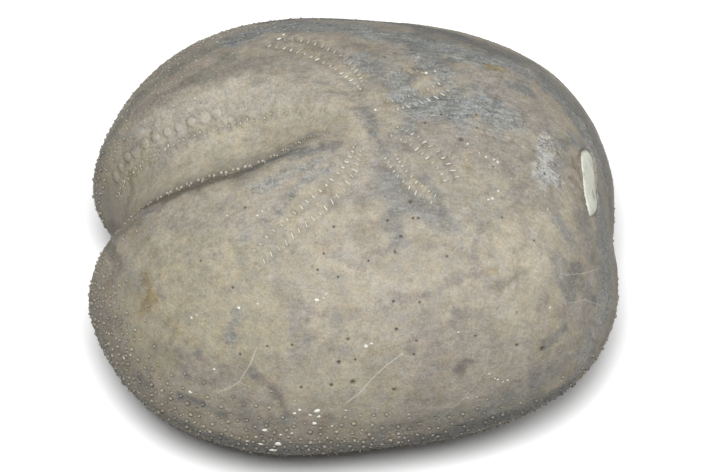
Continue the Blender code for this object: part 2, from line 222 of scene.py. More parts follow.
MOTTLES = (     # swatch, wavelength, the noise where it starts and is full, strength
    ("mauve", 0.0080, 0.14, 0.26, 0.40),
    ("sand", 0.0100, 0.06, 0.26, 0.35),
    ("grey", 0.0110, 0.20, 0.34, 0.25),
    ("pink", 0.0060, 0.10, 0.30, 0.40),
    ("plum", 0.0034, 0.30, 0.42, 0.22),
    ("ochre", 0.0028, 0.42, 0.52, 0.22),
)
VEIN_SWATCH, VEIN_WAVELENGTH, VEIN_WIDTH, VEIN_STRENGTH = "mauve", 0.0095, 0.02, 0.35
RAGGED = ((0.0030, 0.0005), (0.0011, 0.00022))      # how the strokes' places wander
FRAY = ((0.0016, 0.55), (0.0006, 0.35))             # how their edges break up
STROKE_SPREAD = 1.25                # reach of a stroke in radii
STROKE_EDGE = (-0.05, 0.45)         # how softly it ends
STROKES = (     # swatch, strength, radius in millimetres, and the stroke's places
    # The groove and its far side
    ("sand", 0.75, 2.3, ((179, 86), (173, 72), (172, 57), (178, 44), (-178, 33), (180, 21))),
    ("pale", 0.6, 2.0, ((109, 76), (136, 72), (151, 61), (159, 50), (163, 42), (167, 34))),
    ("mauve", 0.61, 1.0, ((162, 28), (159, 34), (154, 42), (145, 50), (133, 56))),
    ("plum", 0.43, 0.8, ((155, 39), (153, 44))),
    ("olive", 0.67, 1.1, ((165, 16), (159, 21), (152, 28), (142, 35), (130, 40))),
    ("slate", 0.67, 0.5, ((53, 87), (16, 86), (-31, 84))),
    ("slate", 0.6, 0.4, ((-126, 74), (-133, 71), (-138, 67))),
    ("pale", 0.5, 0.8, ((167, 30), (168, 31))),
    ("olive", 0.6, 1.1, ((154, 42), (147, 44), (140, 46))),
    ("straw", 0.6, 1.3, ((170, 12), (174, 20), (172, 28))),
    # The next two strokes paint shade on the groove's near wall under the pores, over a brown stain.
    ("brown", 0.8, 1.2, ((-172, 27), (-164, 37), (-163, 41), (-158, 50), (-155, 59))),
    ("slate", 0.85, 0.7, ((-154, 57), (-154, 62), (-145, 68), (-136, 72))),
    ("slate", 0.6, 0.4, ((-133, 73), (-121, 76), (-113, 79))),
    ("blue", 0.61, 0.6, ((-139, 55), (-131, 64), (-117, 72))),
    ("brown", 0.45, 0.6, ((-161, 29), (-164, 21))),
    ("brown", 0.45, 0.4, ((173, 20), (176, 18), (177, 13))),
    ("ochre", 0.4, 1.0, ((-179, 18), (-161, 27))),
    ("brown", 0.6, 0.8, ((174, -1), (-161, 20), (-156, 20))),
    ("grey", 0.43, 0.5, ((-161, 33), (-163, 26), (-162, 19))),
    # The crown and the far edge
    ("blue", 0.92, 1.8, ((130, 40), (119, 41), (106, 43), (88, 48), (67, 50), (51, 48), (39, 43))),
    ("slate", 0.92, 1.0, ((115, 33), (97, 34), (79, 35), (59, 39), (40, 35))),
    ("grey", 0.49, 1.9, ((76, 65), (65, 59))),
    ("blue", 0.95, 1.9, ((10, 68), (11, 58), (11, 48))),
    ("grey", 0.4, 0.8, ((41, 88), (-41, 84), (-57, 79), (-56, 74))),
    ("blue", 0.61, 1.3, ((87, 65), (58, 71), (24, 73))),
    ("blue", 0.61, 1.2, ((-5, 61), (0, 49), (7, 43))),
    ("blue", 0.61, 1.2, ((21, 54), (24, 39))),
    ("slate", 0.85, 0.4, ((51, 62), (47, 59), (45, 54), (43, 51))),
    ("slate", 0.49, 0.4, ((28, 63), (27, 59))),
    ("slate", 0.43, 0.8, ((73, 51), (63, 53))),
    ("blue", 0.75, 1.4, ((58, 54), (46, 57), (34, 58))),
    ("slate", 0.5, 1.0, ((62, 53), (51, 55), (43, 54))),
    ("slate", 0.49, 0.5, ((25, 43), (24, 39), (21, 37))),
    ("ash", 0.6, 0.7, ((49, 49), (42, 49))),
    ("pink", 0.73, 1.4, ((31, 50), (21, 46), (13, 42), (10, 36))),
    ("ochre", 1, 0.6, ((36, 44), (34, 42), (32, 41))),
    ("blue", 0.6, 1.3, ((51, 69), (22, 72), (-11, 74))),
    ("grey", 0.61, 1.1, ((27, 32), (20, 27), (15, 23))),
    ("mauve", 0.55, 2.3, ((-17, 67), (-15, 54), (-14, 43))),
    ("blue", 0.75, 1.5, ((38, 37), (30, 30), (22, 25), (14, 20), (6, 16))),
    ("slate", 0.65, 1.8,
     ((64, 42), (55, 39), (47, 36), (41, 33), (37, 28), (30, 27), (25, 23), (20, 20), (13, 14), (6, 9))),
    # Below the apex
    ("slate", 0.47, 0.5, ((-51, 81), (-53, 76), (-55, 72))),
    ("slate", 0.47, 0.6, ((-46, 73), (-38, 70))),
    ("grey", 0.62, 1.6, ((-69, 66), (-64, 58), (-58, 53), (-53, 48))),
    ("slate", 0.35, 0.8, ((-63, 58), (-56, 53), (-53, 49))),
    ("grey", 0.56, 1.1, ((-63, 68), (-67, 61), (-71, 54), (-73, 48))),
    ("grey", 0.38, 1.0, ((-86, 62), (-76, 61))),
    ("slate", 0.47, 0.5, ((-47, 61), (-49, 57), (-49, 54))),
    ("plum", 0.38, 0.6, ((-34, 59), (-37, 56))),
    ("slate", 0.42, 0.6, ((-61, 56), (-59, 55))),
    ("slate", 0.56, 0.5, ((-71, 50), (-75, 47))),
    ("mauve", 0.56, 0.4, ((-74, 46), (-82, 46), (-86, 44), (-88, 41))),
    ("slate", 0.42, 0.3, ((-89, 43), (-93, 45), (-97, 46))),
    ("blue", 0.56, 0.5,
     ((-110, 69), (-120, 65), (-123, 59), (-123, 54), (-126, 49), (-129, 45), (-127, 41))),
    ("slate", 0.33, 0.3, ((-122, 59), (-123, 53), (-129, 44))),
    # The near flank
    ("sand", 0.5, 2.7, ((-110, 45), (-97, 37), (-94, 30))),
    ("sand", 0.5, 2.3, ((-100, 13), (-90, 13), (-81, 11))),
    ("sand", 0.45, 2.7, ((-41, 36), (-43, 28), (-50, 23))),
    ("mauve", 0.79, 0.4,
     ((-43, 43), (-47, 41), (-51, 38), (-54, 35), (-58, 34), (-63, 34), (-69, 34), (-75, 34), (-78, 36))),
    ("mauve", 0.61, 0.4, ((-75, 34), (-75, 31))),
    ("mauve", 0.61, 0.4, ((-30, 40), (-36, 41), (-42, 42))),
    ("brown", 0.4, 0.4, ((-43, 29), (-47, 29), (-49, 29), (-52, 29))),
    ("slate", 0.61, 0.5, ((-62, 28), (-61, 26))),
    ("mauve", 0.61, 0.6, ((-58, 26), (-65, 25), (-70, 26), (-73, 23), (-74, 21))),
    ("mauve", 0.49, 1.1, ((-69, 21), (-71, 16), (-73, 13))),
    ("plum", 0.95, 0.5, ((-62, 16), (-64, 15))),
    ("mauve", 0.67, 0.4, ((-116, 34), (-109, 34), (-103, 34), (-97, 32))),
    ("grey", 0.55, 0.5, ((-100, 27), (-100, 22))),
    ("grey", 0.43, 0.4, ((-94, 32), (-92, 28))),
    ("sand", 0.4, 1.5, ((-40, 37), (-38, 30), (-45, 24))),
    ("sand", 0.35, 1.4, ((-101, 17), (-91, 19), (-83, 17))),
    ("sand", 0.55, 1.2, ((-98, 23), (-96, 20))),
    ("sand", 0.5, 1.3, ((-90, 6), (-85, 4))),
    ("sand", 0.3, 1.3, ((-81, 39), (-69, 38))),
    ("ochre", 0.95, 0.3, ((-57, 34),)),
    ("ochre", 0.73, 0.3, ((-51, 33), (-49, 32))),
    ("ochre", 0.49, 0.3, ((-106, 29),)),
    ("ochre", 0.49, 0.3, ((-101, 46),)),
    ("ochre", 0.61, 0.3, ((-86, 59),)),
    ("ochre", 0.61, 0.3, ((-41, 49),)),
    ("ochre", 0.43, 0.5, ((-20, 56), (-32, 52))),
    # The near front lobe
    ("straw", 0.85, 4.4, ((-142, 18), (-132, 26), (-117, 25))),
    ("straw", 0.5, 2.3, ((-149, 28), (-139, 38), (-123, 39))),
    ("ochre", 0.92, 0.7, ((-147, 24), (-143, 22), (-143, 19))),
    ("ochre", 0.49, 0.5, ((-135, 21), (-129, 20))),
    ("straw", 0.6, 1.5, ((-142, 12), (-135, 11))),
    ("grey", 0.4, 1.0, ((-157, 20), (-147, 22))),
    ("mauve", 0.49, 0.6, ((-157, 19), (-153, 16))),
    ("plum", 0.61, 0.4, ((-131, 29),)),
    ("slate", 0.49, 0.4, ((-142, 24), (-140, 24))),
    ("mauve", 0.61, 0.4, ((-133, 17), (-128, 16), (-123, 17))),
    ("slate", 0.79, 0.5, ((-126, 18),)),
    ("grey", 0.73, 0.5, ((-120, 30), (-120, 26), (-119, 22))),
    ("slate", 0.55, 0.6, ((-118, 23),)),
    ("slate", 0.85, 0.5, ((-112, 17),)),
    ("plum", 0.61, 0.4, ((-110, 16), (-107, 14), (-105, 11), (-103, 6))),
    ("mauve", 0.61, 1.0, ((-126, 13), (-120, 14), (-115, 18))),
    ("slate", 0.73, 0.5, ((-127, 6), (-122, 6), (-119, 5), (-117, 5))),
    ("slate", 0.49, 0.4, ((-139, 4), (-135, 4))),
    ("grey", 0.49, 0.6, ((-113, 7), (-109, 4), (-102, 5))),
    # The rear end
    ("grey", 0.5, 1.4, ((5, 35), (-4, 34), (-13, 36))),
    ("white", 0.8, 1.0, ((1, 37), (-11, 38), (-13, 34))),
    ("white", 0.6, 0.5, ((-15, 40), (-17, 36))),
    ("rust", 0.8, 0.3, ((6, 27), (2, 28), (-5, 27))),
    ("slate", 0.61, 0.6, ((4, 33), (9, 26))),
    ("rust", 0.6, 0.4, ((0, 30), (-3, 29))),
    ("brown", 0.5, 0.5, ((-8, 30), (-10, 27), (-12, 25))),
    ("grey", 0.61, 1.1, ((-24, 30), (-25, 27))),
    ("grey", 0.55, 1.1, ((-33, 25), (-35, 22))),
    ("slate", 0.45, 1.0, ((18, 27), (15, 25))),
    ("blue", 0.6, 1.0, ((8, 29), (8, 25))),
    ("mauve", 0.49, 0.8, ((-25, 24), (-23, 19))),
    ("slate", 0.73, 1.0, ((-30, 21), (-35, 18))),
    ("slate", 0.55, 0.6, ((-30, 12), (-31, 17))),
    ("grey", 0.79, 1.3, ((-4, 18), (-15, 17), (-21, 12))),
    ("blue", 0.7, 1.5, ((-4, 17), (-18, 14), (-27, 7))),
    ("slate", 0.4, 1.1, ((-17, 25), (-20, 20), (-26, 12))),
    ("ash", 0.65, 1.8, ((-26, 8), (-32, 6), (-37, 2))),
    ("slate", 0.73, 0.7, ((-41, 13), (-45, 13))),
    ("slate", 0.55, 0.4, ((-44, 10),)),
    ("slate", 0.55, 0.4, ((-48, 10), (-49, 7), (-50, 4))),
    # The lower edge: olive-dark stone; its slate strokes also paint shade where the light falls off below
    ("slate", 0.75, 1.2, ((-73, -5), (-61, -3), (-52, -1), (-41, -3))),
    ("grey", 0.5, 1.5, ((-62, 3), (-51, 4), (-43, 7))),
    ("slate", 0.67, 0.7, ((-129, -2), (-119, -5), (-105, -6), (-89, -8), (-72, -6), (-61, -4), (-50, -3))),
    ("pink", 0.55, 1.3, ((-77, 8), (-68, 7), (-59, 8))),
    ("olive", 0.61, 0.8, ((-82, 1), (-71, 2), (-60, 2), (-48, 0))),
    ("olive", 0.5, 0.6, ((-153, 3), (-147, -3), (-134, -3), (-122, -5))),
    ("straw", 0.5, 0.8, ((-154, 6), (-147, 5), (-143, 3))),
    ("slate", 0.6, 0.8, ((-67, -1), (-61, -1), (-55, -2))),
    ("slate", 0.7, 0.7, ((-118, -3), (-114, -4), (-110, -5))),
    ("plum", 0.43, 0.6, ((-109, 1), (-105, 0))),
    ("grey", 0.49, 1.0, ((-109, -3), (-96, -4), (-82, -5))),
)
CRUMBS = (      # chalk crumbs: longitude, latitude, radius in millimetres
    (-120, 30, 0.21), (-115.5, 32, 0.15), (-99.5, 35, 0.24), (-97, 36.5, 0.16), (-97.5, 35.5, 0.13),
    (-85.5, 24, 0.23), (-84, 24.5, 0.16), (-121, 15.5, 0.16), (-125.5, 8, 0.23), (-101.5, 7.5, 0.21),
    (-100.5, 8.5, 0.19), (-97, 4.5, 0.27), (-96.5, 8, 0.32), (-96, 6.5, 0.19), (-98, 7, 0.17),
    (-108, 2, 0.25), (-105, -2.5, 0.38), (-106.5, -5.5, 0.36), (-102, 1.5, 0.16), (-104.5, 1, 0.17),
    (-110, -0.5, 0.15), (-112, -2.5, 0.17), (-109, -3, 0.23), (-78, -2.5, 0.17), (-144.5, 5, 0.17),
    (-142.5, 7.5, 0.14), (-151, 6, 0.15), (-148, 7.5, 0.12), (-130.5, 24, 0.16), (-129.5, 25, 0.13),
    (-33.5, 45, 0.19), (-35, 45.5, 0.16), (-29.5, 45, 0.15), (-17.5, 53.5, 0.12), (-18, 51.5, 0.17),
    (-17.5, 49.5, 0.16), (-18, 48.5, 0.19), (-15, 57, 0.17), (-24.5, 55.5, 0.12), (20, 83.5, 0.20),
    (-129.5, 51.5, 0.14), (-130, 50, 0.15), (-63, 23, 0.15), (-41.5, 19, 0.17), (-22, 44, 0.11),
    (-58.5, 11.5, 0.13), (-57.5, 10, 0.12), (-57, 9.5, 0.14), (-56, 8.5, 0.12), (-55, 8.5, 0.14),
    (-61.5, 6.5, 0.12), (-63.5, 7, 0.12), (119, 48, 0.23), (116.5, 47, 0.16), (42.5, 62, 0.19),
    (44.5, 62.5, 0.13), (41, 59.5, 0.14), (-23.5, 33.5, 0.13), (3.5, 36.5, 0.14), (-6, 43.5, 0.13),
    (-88.5, 64.5, 0.11), (-139.5, 46, 0.13), (159.5, 43.5, 0.14), (-93, 3.5, 0.17), (-90, 8, 0.13),
)
PITS = (        # small dark pits, in the same way
    (-92, 20.5, 0.23), (-88.5, 15.5, 0.25), (-93.5, 15, 0.20), (-100.5, 14.5, 0.16), (-79, 12.5, 0.21),
    (-77.5, 27, 0.18), (-90, 26, 0.16), (-88, 21, 0.13), (-77.5, 33.5, 0.16), (-70.5, 32, 0.13),
    (-13, 59, 0.24), (4, 65, 0.14), (3.5, 62, 0.12), (4.5, 58, 0.13), (5.5, 55.5, 0.14), (14, 52, 0.13),
    (16.5, 49, 0.12), (-6, 69.5, 0.16), (-3, 55.5, 0.12), (37.5, 44.5, 0.16), (29, 43.5, 0.14),
    (-1.5, 34, 0.15), (-12, 39, 0.13), (-12.5, 37, 0.13), (-6.5, 34.5, 0.12), (-46.5, 12, 0.27),
    (-123.5, 4.5, 0.14), (-124, 33.5, 0.13), (-71, 48.5, 0.15), (-64, 52, 0.16), (-62, 51.5, 0.13),
    (-74.5, 53.5, 0.15), (-98, 53, 0.15), (-100, 46, 0.13), (-84, 44, 0.13), (-74.5, 45, 0.14),
    (-59, 40, 0.13), (-73, 23.5, 0.13), (-74, 20.5, 0.13), (-104, 24.5, 0.14), (-110, 23.5, 0.12),
    (-116, 20.5, 0.15), (-51.5, 15.5, 0.17), (-59.5, 21, 0.13), (-94, 40.5, 0.13), (-101, 42, 0.13),
    (-61.5, 56.5, 0.20), (7, 25, 0.19), (71, 62.5, 0.15), (67, 59, 0.13), (61.5, 55, 0.13),
    (-21, 49, 0.11), (-36.5, 40.5, 0.12), (-34.5, 32, 0.13), (-136.5, 50, 0.14), (-136.5, 35, 0.11),
)
PIT_RINGS = ((0.5, 0.7, 0.85, 5), (1.0, 0.15, 0.45, 7), (1.5, 0.0, 0.0, 8))
CRACK_SIZE = (0.00011, 0.00022)     # half width and depth
CRACKS = (      # open slots
    ((-139.5, 3.5), (-138.5, 2.5)),
    ((-66, -1), (-64, -1.5)),
)
SCRATCH_SIZE, SCRATCH_CHALK = (0.000045, 0.00003), 0.6
SCRATCHES = (   # pale hairlines: how pale, and the line's places
    (1.0, ((-77, 21), (-80.5, 19), (-84, 16), (-87, 12.5), (-89.5, 10.5))),
    (0.9, ((-112.5, 22.5), (-113, 19), (-114.5, 15))),
    (0.9, ((-114.5, 14.5), (-116.5, 12.5), (-119, 10.5))),
    (0.5, ((-114, 14), (-112, 13.5))),
    (0.4, ((-70, 2), (-65.5, 6), (-62, 9.5), (-59, 13), (-57.5, 17.5))),
    (0.5, ((-33.5, 22), (-29, 19), (-23, 15.5))),
    (0.6, ((-36.5, 17), (-32, 14.5), (-28, 9.5))),
    (0.4, ((-20.5, 14.5), (-21.5, 11.5), (-25, 10.5))),
    (0.4, ((-127, 27.5), (-128, 26.5), (-130, 25))),
)
# Rings of the skin round the vent: the share of its rim, and how dark
RIM_SIDES = 64
VENT_RINGS = ((0.5, 0.0), (0.9, 0.0), (1.0, 0.8), (1.05, 0.25), (1.10, 0.0), (1.2, 0.0))
MOUTH_RINGS, MOUTH_SIDES = (0.3, 0.6, 0.9, 1.1), 40
# Rings of the vent's plug: the share of its rim, and how high
PLUG_RINGS = ((0.18, 1.0), (0.36, 1.0), (0.54, 1.0), (0.70, 1.0), (0.84, 1.0), (0.93, 0.97),
              (0.98, 0.75), (1.02, -0.8))
PLUG_HEIGHT = 0.00040
PLUG_WAVES = ((0.0006, 0.00005), (0.0022, 0.00008))
PLUG_SPOTS = (0.0009, (0.30, 0.55), 0.45)       # wavelength, noise at their edge and inside, strength

# Colours of the materials
WARM, COOL = (1.03, 1.0, 0.945, 1), (0.98, 1.0, 1.045, 1)
BRIGHT_SPECK, DIM_SPECK = (0.42, 0.41, 0.37, 1), (0.085, 0.083, 0.076, 1)
# STONE_DARK darkens dots, pits and cracks, and is also the painted shade in slots and round the feet of
# pillows and spine bases
STONE_DARK, CHALK_DARK = (0.060, 0.046, 0.030, 1), (0.10, 0.095, 0.08, 1)
STONE_CHALK = ((0.62, 0.60, 0.52, 1), (0.50, 0.48, 0.40, 1))
PLUG_CHALK = ((0.68, 0.69, 0.61, 1), (0.57, 0.58, 0.49, 1))
CHALK_FLECK = (0.28, 0.285, 0.245, 1)

# Stage: each lamp's name, turn, rise, width and watts, where +X is turn 0 and +Y is turn 90
LAMPS = (
    ("key", 266, 61, 0.42, 13.8),
    ("right_fill", 0, 35, 0.8, 3.3),
    ("left_fill", 185, 18, 0.6, 0.7),
    ("back_fill", 90, 30, 0.8, 0.8),
)
WORLD_STRENGTH = 0.05
FLOOR_REACH = 3.0
CAMERA_RISE, CAMERA_DISTANCE = 47.5, 0.634
VIEW_WIDTH = 0.0748                 # what the view takes in at that distance
VIEW_SHIFT = (0.00088, 0.00123)     # how far it looks to the right of the middle, and above


def unit(vectors):
    return vectors / np.linalg.norm(vectors, axis=-1, keepdims=True)


def ease(low, high, value):
    """0 below low, 1 above high, and a smooth step between."""
    share = np.clip((value - low) / (high - low), 0, 1)
    return share * share * (3 - 2 * share)


def bump(offset, spread):
    return np.exp(-(offset / spread) ** 2)


def dot(first, second):
    return (first * second).sum(axis=-1)


def tree_of(points):
    tree = kdtree.KDTree(len(points))
    for index, point in enumerate(points.tolist()):
        tree.insert(point, index)
    tree.balance()
    return tree


def nearest(tree, points):
    """Each point's distance to the tree's nearest one."""
    return np.array([tree.find(Vector(point))[2] for point in points.tolist()])


def noise_at(points, wavelength, octaves=1):
    """Smooth noise between about -1 and 1."""
    scaled = (points / wavelength).tolist()
    if octaves == 1:
        return np.array([noise.noise(Vector(point)) for point in scaled])
    return np.array([noise.fractal(Vector(point), 0.9, 2.0, octaves) for point in scaled])


def pick(seed, low, high, count):
    """Even random numbers. Each seed is a row of its own."""
    return np.random.default_rng(SEED + seed).uniform(low, high, count)


# The form

def test_form(directions):
    """Points of the smooth test, one for each direction from its middle."""
    along, across, up = directions.T
    rearward = 0.5 + 0.5 * np.tanh(along / SQUARE_BLEND)
    upward = 0.5 + 0.5 * np.tanh(up / SQUARE_BLEND)
    plan = PLAN_POWER[0] + (PLAN_POWER[1] - PLAN_POWER[0]) * rearward
    side = SIDE_POWER[0] + (SIDE_POWER[1] - SIDE_POWER[0]) * upward
    reach = np.where(along < 0, FRONT, REAR)
    rise = np.where(up > 0, CROWN, KEEL)
    outline = np.abs(along / reach) ** plan + np.abs(across / HALF_WIDTH) ** plan
    radius = (outline ** (side / plan) + np.abs(up / rise) ** side) ** (-1 / side)
    x, y, z = (directions * radius[:, None]).T
    rear_share = np.clip(x / REAR, -1, 1)
    depth_share = np.clip(-z / KEEL, 0, 1)
    narrowing = NARROWING * rear_share + KEEL_NARROWING * depth_share * np.clip(rear_share, 0, 1)
    y = y * (1 - narrowing)
    x = x + CROWN_LEAN * np.clip(z / CROWN, 0, 1) ** 2 * (1 - rear_share ** 2)
    overlap = np.clip(1 - np.abs(-z - WORN_LEVEL) / WORN_BLEND, 0, 1)
    worn = np.minimum(-z, WORN_LEVEL) - overlap ** 2 * WORN_BLEND / 4
    return np.stack([x, y, np.where(z < -WORN_LEVEL / 2, -worn, z)], axis=-1)


def tangents(directions, form):
    """Two unit steps on the sphere of directions, and what the form does along each."""
    pole = np.where(np.abs(directions[:, 2:]) < 0.9, [[0.0, 0.0, 1.0]], [[1.0, 0.0, 0.0]])
    first = unit(np.cross(pole, directions))
    second = np.cross(directions, first)
    step = 1e-3
    slopes = []
    for turn in (first, second):
        ahead, behind = form(unit(directions + step * turn)), form(unit(directions - step * turn))
        slopes.append((ahead - behind) / (2 * step))
    return first, second, slopes[0], slopes[1]


def outward(directions, form):
    _, _, slope_a, slope_b = tangents(directions, form)
    return unit(np.cross(slope_a, slope_b))


def turn_of(points):
    """Degrees from the apex, over the front, towards the mouth."""
    return np.degrees(np.arctan2(APEX_X - points[:, 0], points[:, 2] + TURN_DROP))


def groove_half(turn):
    """Half the groove's width at a turn from the apex."""
    narrow, wide = GROOVE_HALF
    return narrow + (wide - narrow) * ease(GROOVE_START, GROOVE_FULL, turn)


def groove_sink(points):
    turn = turn_of(points)
    depth = GROOVE_DEPTH * ease(GROOVE_START, GROOVE_FULL, turn)
    depth = depth * (1 - ease(GROOVE_FADE, GROOVE_END, turn))
    share = np.minimum(np.abs(points[:, 1]) / groove_half(turn), 1)
    return np.where(turn > 0, depth * (0.5 + 0.5 * np.cos(math.pi * share ** GROOVE_FLATNESS)), 0)


def rear_sink(points):
    """The shallow channel down the rear face, less the brow over the vent."""
    x, y, z = points.T
    depth, level, spread = REAR_HOLLOW
    height, brow_level, brow_spread = REAR_BROW
    hollow = depth * bump(z - level, spread * 1.4) * bump(y, spread)
    brow = height * bump(z - brow_level, brow_spread) * bump(y, brow_spread * 1.6)
    return np.where(x > 0, ease(0, REAR / 2, x) * (hollow - brow), 0)


@cache
def aimed_at(place):
    """The direction of one place, as a set of one."""
    return unit(np.array([place]))


@cache
def vent_middle():
    return test_form(aimed_at(VENT_PLACE))[0]


def vent_share(points):
    """1 at the vent's rim, less inside it."""
    lean = math.radians(VENT_TILT)
    up_face = np.array([-math.sin(lean), 0, math.cos(lean)])
    offset = points - vent_middle()
    across, up = offset[:, 1] / VENT_HALF[0], offset @ up_face / VENT_HALF[1]
    turns, shares = zip(*VENT_OUTLINE)
    rim = np.interp(np.degrees(np.arctan2(up, across)) % 360, turns, shares)
    return np.where(points[:, 0] > 0, np.hypot(across, up) / rim, FAR)


def vent_sink(points):
    return VENT_DEPTH * (1 - ease(*VENT_EDGE, vent_share(points)))


def behind_mouth(points):
    """Distance to the rear of the bowed line through the mouth's middle."""
    return points[:, 0] - MOUTH_PLACE[0] - MOUTH_BOW * points[:, 1] ** 2


def mouth_share(points):
    """1 at the mouth's rim, less inside it."""
    share = np.hypot(behind_mouth(points) / MOUTH_HALF[0], points[:, 1] / MOUTH_HALF[1])
    return np.where(points[:, 2] < 0, share, FAR)


def mouth_sink(points):
    pit = MOUTH_DEPTH * (1 - ease(0.25, 1.05, mouth_share(points)))
    lip = LIP_HEIGHT * bump(behind_mouth(points) - LIP_GAP, LIP_GAP / 2)
    lip = lip * bump(points[:, 1], MOUTH_HALF[1] * 0.8)
    return pit - np.where(points[:, 2] < 0, lip, 0)


def zone_sink(points):
    """The pore zones lie in a faint trough."""
    gaps = nearest(pore_tree(), points)
    return ZONE_SINK * (1 - ease(ZONE_REACH / 3, ZONE_REACH, gaps))


def sunk_form(directions):
    points = test_form(directions)
    hollows = (groove_sink, rear_sink, vent_sink, mouth_sink, zone_sink)
    depth = sum(hollow(points) for hollow in hollows)
    return points - outward(directions, test_form) * depth[:, None]


def ground(directions):
    """Points of the sunk form with its slow waves, and which way is out of it."""
    points = sunk_form(directions)
    out = outward(directions, sunk_form)
    waves = sum(height * noise_at(points, wavelength) for wavelength, height in SWELL)
    return points + out * waves[:, None], out


# Places on the form

def placed(spots):
    """Directions of places given as longitude and latitude."""
    turn, rise = np.radians(np.array(spots, dtype=float)).T
    return np.column_stack([np.cos(rise) * np.cos(turn), np.cos(rise) * np.sin(turn), np.sin(rise)])


def above(plan):
    """Directions whose points lie over the plan positions (x, y), on the crown."""
    aim = np.column_stack([plan, np.full(len(plan), CROWN)])
    for _ in range(40):
        points = test_form(unit(aim))
        aim[:, :2] += plan - points[:, :2]
        aim[:, 2] = points[:, 2]
    return unit(aim)


def beside_groove(turns, share):
    """Directions at these turns from the apex, at one share of the groove's half width."""
    angles = np.radians(turns)
    side = share * groove_half(turns)
    radius = np.full(len(angles), CROWN)
    for _ in range(20):
        x, z = APEX_X - radius * np.sin(angles), radius * np.cos(angles) - TURN_DROP
        aim = np.column_stack([x, side, z])
        points = test_form(unit(aim))
        radius = np.hypot(points[:, 0] - APEX_X, points[:, 2] + TURN_DROP)
    return unit(aim)


def moved(directions, steps):
    """The directions reached by small steps along the surface, given as vectors in space."""
    first, second, slope_a, slope_b = tangents(directions, sunk_form)
    aa, ab, bb = dot(slope_a, slope_a), dot(slope_a, slope_b), dot(slope_b, slope_b)
    step_a, step_b = dot(slope_a, steps), dot(slope_b, steps)
    spread = aa * bb - ab * ab
    share_a = (bb * step_a - ab * step_b) / spread
    share_b = (aa * step_b - ab * step_a) / spread
    return unit(directions + share_a[:, None] * first + share_b[:, None] * second)


def axes_at(directions, wanted=None):
    """Two unit vectors along the surface: the wanted one as near as it can be, and its left."""
    _, _, slope_a, slope_b = tangents(directions, sunk_form)
    out = unit(np.cross(slope_a, slope_b))
    first = unit(slope_a if wanted is None else wanted - dot(wanted, out)[:, None] * out)
    return first, np.cross(out, first)


def lengths_along(points):
    """The length of the line through the points, up to each of them."""
    return np.concatenate([[0], np.cumsum(np.linalg.norm(np.diff(points, axis=0), axis=1))])


def walked(stops, step, start=0.0):
    """Directions at equal steps along the line through a fine row of directions."""
    lengths = lengths_along(test_form(stops))
    marks = np.arange(start, lengths[-1], step)
    return unit(np.column_stack([np.interp(marks, lengths, stops[:, axis]) for axis in range(3)]))


def zone_line(name, side):
    """A zone's outer row in plan, one place a slit, the way along it and to its petal's middle."""
    start, start_pull, end_pull, end = [Vector((x, y * side, 0)) for x, y in PORE_ZONES[name][side]]
    fine = np.array(interpolate_bezier(start, start_pull, end_pull, end, 200))[:, :2]
    lengths = lengths_along(fine)
    stops = [0.0]
    while stops[-1] < lengths[-1]:
        near, wide = PORE_STEP
        stops.append(stops[-1] + near + (wide - near) * float(ease(0, PORE_STEP_REACH, stops[-1])))
    spots = np.column_stack([np.interp(stops, lengths, fine[:, axis]) for axis in (0, 1)])[:-1]
    heading = unit(np.gradient(spots, axis=0))
    inward = np.column_stack([-heading[:, 1], heading[:, 0]]) * ZONE_ROWS[name][1] * side
    return spots, heading, inward


def strays(axes, seeds, reach):
    """Random steps of up to the reach along each of two axes."""
    steps = [axis * pick(seed, -1, 1, len(axis))[:, None] for axis, seed in zip(axes, seeds)]
    return (steps[0] + steps[1]) * reach


def unevened(rows, seeds, lean, stretch):
    """Joined rows of slots, each a little off in its place, its lie, its length and its width."""
    way, lie, long, wide, *rest = map(np.concatenate, rows)
    count = len(way)
    axes = axes_at(way, lie)
    lie = unit(axes[0] + axes[1] * pick(seeds[2], -lean, lean, count)[:, None])
    long = long * pick(seeds[3], *stretch, count)
    wide = wide * pick(seeds[4], *SLOT_WIDENING, count)
    return moved(way, strays(axes, seeds, SLIT_SPREAD)), lie, long, wide, *rest


@cache
def pore_tree():
    """The slits' places on the smooth form, for the distance to the nearest one."""
    rows = []
    for name, side in product(PORE_ZONES, (-1, 1)):
        spots, _, inward = zone_line(name, side)
        rows += [spots + inward * reach for reach, _, _ in ZONE_ROWS[name][0]]
    return tree_of(test_form(above(np.concatenate(rows))))


def groove_row(share, turns, step, start=0.0):
    return walked(beside_groove(np.linspace(*turns, 200), share), step, start)


@cache
def slits():
    """All slits: direction, the way it lies, half its length and width, and how full it is."""
    ways, lies, longs, wides, fulls = [], [], [], [], []
    for name, side in product(PORE_ZONES, (-1, 1)):
        rows, _, half_width = ZONE_ROWS[name]
        share = FADED_SHARE if (name, side) == FADED_ZONE else 1.0
        spots, heading, inward = zone_line(name, side)
        grown = 0.5 + 0.5 * ease(0.0, 0.0020, np.linalg.norm(spots - spots[0], axis=1))
        for reach, half, lean in rows:
            lie = inward * math.cos(math.radians(lean)) + heading * math.sin(math.radians(lean))
            ways.append(above(spots + inward * reach))
            lies.append(np.column_stack([lie, np.zeros(len(lie))]))
            longs.append(half * grown)
            wides.append(np.full(len(spots), half_width))
            fulls.append(np.full(len(spots), share))
    rows = (ways, lies, longs, wides, fulls)
    way, lie, long, wide, full = unevened(rows, SLIT_SEEDS, SLIT_LEAN, SLIT_STRETCH)
    return way, lie, long, wide, full * pick(5, *SLIT_CHALK, len(full))


